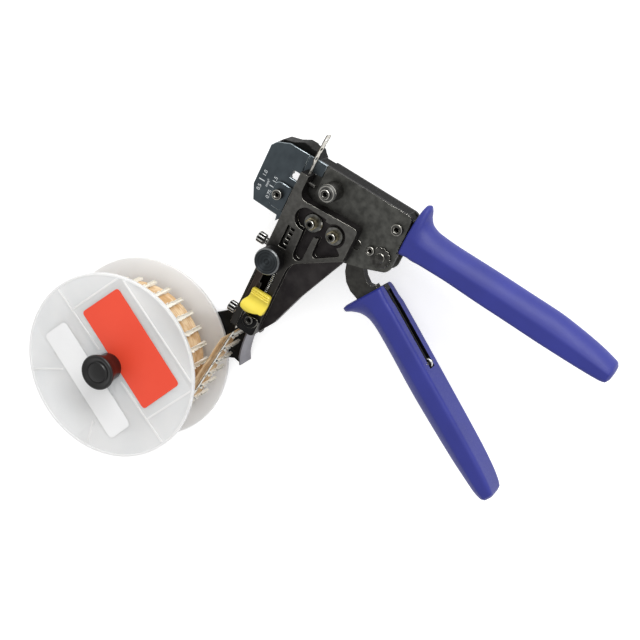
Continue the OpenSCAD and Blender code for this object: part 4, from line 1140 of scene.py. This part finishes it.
# The tail's own cells are shorter, and it leans over as it rises from the rail
TAIL_COUNT, TAIL_PITCH, TAIL_LEAN = 3, 5.6, 0.2
tail_way = unit(np.array([1.15, 20.0]))
tail_start = np.array([RAIL_X, 9.5])
tail_places = np.array([tail_start + tail_way * (2.8 + i * TAIL_PITCH) for i in range(TAIL_COUNT)])
tail_points, tail_faces, _ = carrier_cell(TAIL_PITCH)
tail = along_path(tail_points, tail_places, np.tile(-tail_way, (TAIL_COUNT, 1)), CARRIER_Z)
tail[..., 0] -= TAIL_LEAN * (tail[..., 2] - CARRIER_Z) * step_up(tail[..., 1], tail_start[1], tail_start[1] + 3)
ribbon_shape = joined(repeat(cell_points, cell_faces, ribbon), repeat(tail_points, tail_faces, tail))
carrier_ribbon = piece("carrier_ribbon", *ribbon_shape, "frame", "tinned_strip", dull_tin, cut_bronze,
                       finish_of=np.tile(cell_finish, len(ribbon_places) + len(tail_places)))
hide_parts("terminal_strip")
print("ribbon reaches Y", round(float(tail[..., 1].max()), 1), "mm")

# %% Stock wound on the reel
STOCK_RADIUS = 39.5
STOCK_COUNT = 28
angle = np.arange(STOCK_COUNT) * 2 * np.pi / STOCK_COUNT
wound_places = REEL_AXIS + (STOCK_RADIUS + 0.1) * np.stack([np.cos(angle), np.sin(angle)], axis=-1)
wound_directions = np.stack([np.sin(angle), -np.cos(angle)], axis=-1)
wound = along_path(one_points, wound_places, wound_directions, CARRIER_Z)
chord = 2 * np.pi * (STOCK_RADIUS + 0.2) / STOCK_COUNT
band_points, band_faces, _ = carrier_cell(chord)
band = along_path(band_points, wound_places, wound_directions, CARRIER_Z)
wound_shape = joined(repeat(one_points, one_faces, wound), repeat(band_points, band_faces, band))
wound_terminals = piece("wound_terminals_folded", *wound_shape, "reel", "wound_strip", dull_tin)
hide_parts("wound_terminals")
print("reel carries", STOCK_COUNT, "terminals in its outer layer")

# %% [markdown]
# ## Paper between the layers
# Kraft tape is wound in with the stock so that the terminals don't hook each other. On the reel
# it bulges a little between them, and a free length runs off towards the rail. Both are thin
# surfaces over two parameters, given their thickness at once.

# %% Wound paper
PAPER_LOW, PAPER_HIGH = -7.8, 16.0
# How far the outer layer bulges between two terminals, and how far it is drawn in at each
BULGE_MM, DRAWN_IN_MM = 0.12, 0.15
turn = whole_turn(STOCK_COUNT * 12)
bulge = BULGE_MM * (1 - np.cos(turn * STOCK_COUNT)) / 2
# Radius, and share of the paper's height, round its section from the bore out and back
layers = np.array([[18.0, 0.0], [19.0, 0.0], [38.9, 0.0], [39.35, 0.0], [39.35, 1.0], [38.9, 1.0], [19.0, 1.0],
                   [18.0, 1.0]])
swell = np.where(layers[:, 0] > 39, 1.0, 0.0)[:, None]
radius = layers[:, :1] + swell * bulge[None, :] - DRAWN_IN_MM * swell
height = PAPER_LOW + (PAPER_HIGH - PAPER_LOW) * layers[:, 1:] + 0 * radius
paper_rings = np.stack([REEL_AXIS[0] + radius * np.cos(turn), REEL_AXIS[1] + radius * np.sin(turn), height], axis=-1)
wound_paper = piece("wound_paper_layers", paper_rings.reshape(-1, 3), ring_faces(8, len(turn), closed_rows=True),
                    "reel", "paper", kraft_paper)
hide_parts("wound_paper")
print("wound paper reaches", round(float(radius.max()), 2), "mm from the axis")

# %% Free tape
# The tape's lower and upper edge, half its thickness, and how far it sags and ripples
TAPE_LOW, TAPE_HIGH, HALF_TAPE, SAG_MM, RIPPLE_MM = -9.4, 15.0, 0.09, 0.5, 0.15
tape_from, tape_to = REEL_AXIS + np.array([41.5, -3.0]), np.array([-17.3, -96.0])
s = np.linspace(0, 1, 40)
sag = SAG_MM * np.sin(np.pi * s) + RIPPLE_MM * np.sin(5 * np.pi * s)
way = unit(tape_to - tape_from)
sideways = np.array([-way[1], way[0]])
line = tape_from + (tape_to - tape_from) * s[:, None] + sag[:, None] * sideways
near_side, far_side = line - HALF_TAPE * sideways, line + HALF_TAPE * sideways
across = [(near_side, TAPE_LOW), (far_side, TAPE_LOW), (far_side, TAPE_HIGH), (near_side, TAPE_HIGH)]
tape_rings = np.stack([np.column_stack([flat, np.full(len(s), z)]) for flat, z in across], axis=1)
paper_tape = piece("paper_tape_free", *skin(tape_rings), "frame", "paper", kraft_paper)
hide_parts("paper_tape")
print("free tape is", round(float(np.linalg.norm(tape_to - tape_from)), 1), "mm long")

# %% [markdown]
# ## Springs
# The feed spring is a round wire carried along a helix, and it shortens as the slide moves.
# In the grip, the return spring's dark rod runs down the slot to a bright eye on a pin.


# %% Wire along a path
def wire(path, radius, sides=10):
    """Rings of a round wire: at each point, a circle in the plane square to the path's direction."""
    ahead = np.gradient(path, axis=0)
    ahead /= np.linalg.norm(ahead, axis=1, keepdims=True)
    side = np.cross(ahead, [0.1, 0.2, 1.0])
    side /= np.linalg.norm(side, axis=1, keepdims=True)
    lift = np.cross(ahead, side)
    angle = whole_turn(sides)[None, :, None]
    return skin(path[:, None] + radius * (np.cos(angle) * side[:, None] + np.sin(angle) * lift[:, None]))


print("wire helper is ready")

# %% Feed spring
SPRING_TURNS, COIL_RADIUS, FEED_WIRE = 13, 0.85, 0.17
SPRING_X, SPRING_Z, SPRING_ENDS = -7.2, 12.55, (-62.45, -49.25)
turn = np.linspace(0, 2 * np.pi * SPRING_TURNS, SPRING_TURNS * 24 + 1)
helix = np.stack([SPRING_X + COIL_RADIUS * np.cos(turn), np.linspace(*SPRING_ENDS, len(turn)),
                  SPRING_Z + COIL_RADIUS * np.sin(turn)], axis=-1)
feed_spring = piece("feed_spring_wire", *wire(helix, FEED_WIRE), "frame", "spring_steel", spring_wire)
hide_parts("feed_spring")
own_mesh(feed_spring)
print("feed spring has", SPRING_TURNS, "turns")

# %% Rod and eye of the return spring
ROD_ENDS, ROD_V, ROD_RADIUS = (1.3, 43.4), -2.0, 1.0
EYE, EYE_RADIUS, EYE_WIRE = np.array([44.8, -2.4]), 1.9, 0.6
rod_path = np.stack([np.linspace(*ROD_ENDS, 24), np.full(24, ROD_V), np.zeros(24)], axis=-1)
spring_rod = piece("spring_rod", *wire(on_lower(rod_path), ROD_RADIUS, 20), "handle", "spring_steel", dark_steel)
turn = whole_turn(48)
ring = np.stack([EYE[0] + EYE_RADIUS * np.cos(turn), EYE[1] + EYE_RADIUS * np.sin(turn), 0 * turn], axis=-1)
side = whole_turn(16)[None, :, None]
outward = (ring - [*EYE, 0]) / EYE_RADIUS
eye_rings = ring[:, None] + EYE_WIRE * (np.cos(side) * outward[:, None] + np.sin(side) * np.array([0, 0, 1.0]))
spring_eye = piece("spring_eye", on_lower(eye_rings).reshape(-1, 3), ring_faces(48, 16, closed_rows=True), "handle",
                   "spring_steel", spring_wire)
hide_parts("return_spring")
print("return spring's eye is", 2 * (EYE_RADIUS + EYE_WIRE), "mm across")

# %% [markdown]
# ## Wire sizes on the head
# The cover carries the wire sizes that each nest is for, as white stamped figures that read
# along the jaw. Text is made a mesh first, and then its points are turned and placed.

# %% A stamped figure
# A figure stands this share of its font's size, and the ink lies this far over the cover, in mm
FIGURE_SHARE, INK_LIFT = 0.7, 0.03


def stamp(name, text, x, y, height=1.9):
    """Figures with their middle at x, y: their line runs along +Y and their tops point to -X."""
    curve = bpy.data.curves.new(name, "FONT")
    curve.body = text
    curve.size = 1.0
    curve.extrude = 0.01
    curve.align_x = curve.align_y = "CENTER"
    flat = put(name, curve)
    mesh = baked(flat)
    bpy.data.objects.remove(flat)
    co = triples(mesh.vertices, "co")
    scale = height / FIGURE_SHARE
    points = np.stack([x - scale * co[:, 1], y + scale * co[:, 0], HALF_BODY + INK_LIFT + co[:, 2]], axis=-1)
    faces = [list(polygon.vertices) for polygon in mesh.polygons]
    bpy.data.meshes.remove(mesh)
    return piece(name, points, faces, "frame", "marked_cover", white_ink)


print("figures will be", FIGURE_SHARE, "of their font's size")

# %% Wire sizes
# Name, figures, place of their middle, and height where it isn't the usual one, in mm
marks = [("size_a", "0.5", -36.5, -17.0), ("size_b", "1.0", -36.5, -9.0), ("size_unit", "mm²", -33.2, -12.8, 1.6),
         ("size_c", "0.75", -30.2, -17.6), ("size_d", "1.5", -30.2, -9.2), ("bar_upper", "I", -36.5, -12.9, 3.4),
         ("bar_lower", "I", -30.2, -13.2, 3.0)]
for mark in marks:
    stamp(*mark)
print(len(marks), "stamped marks")
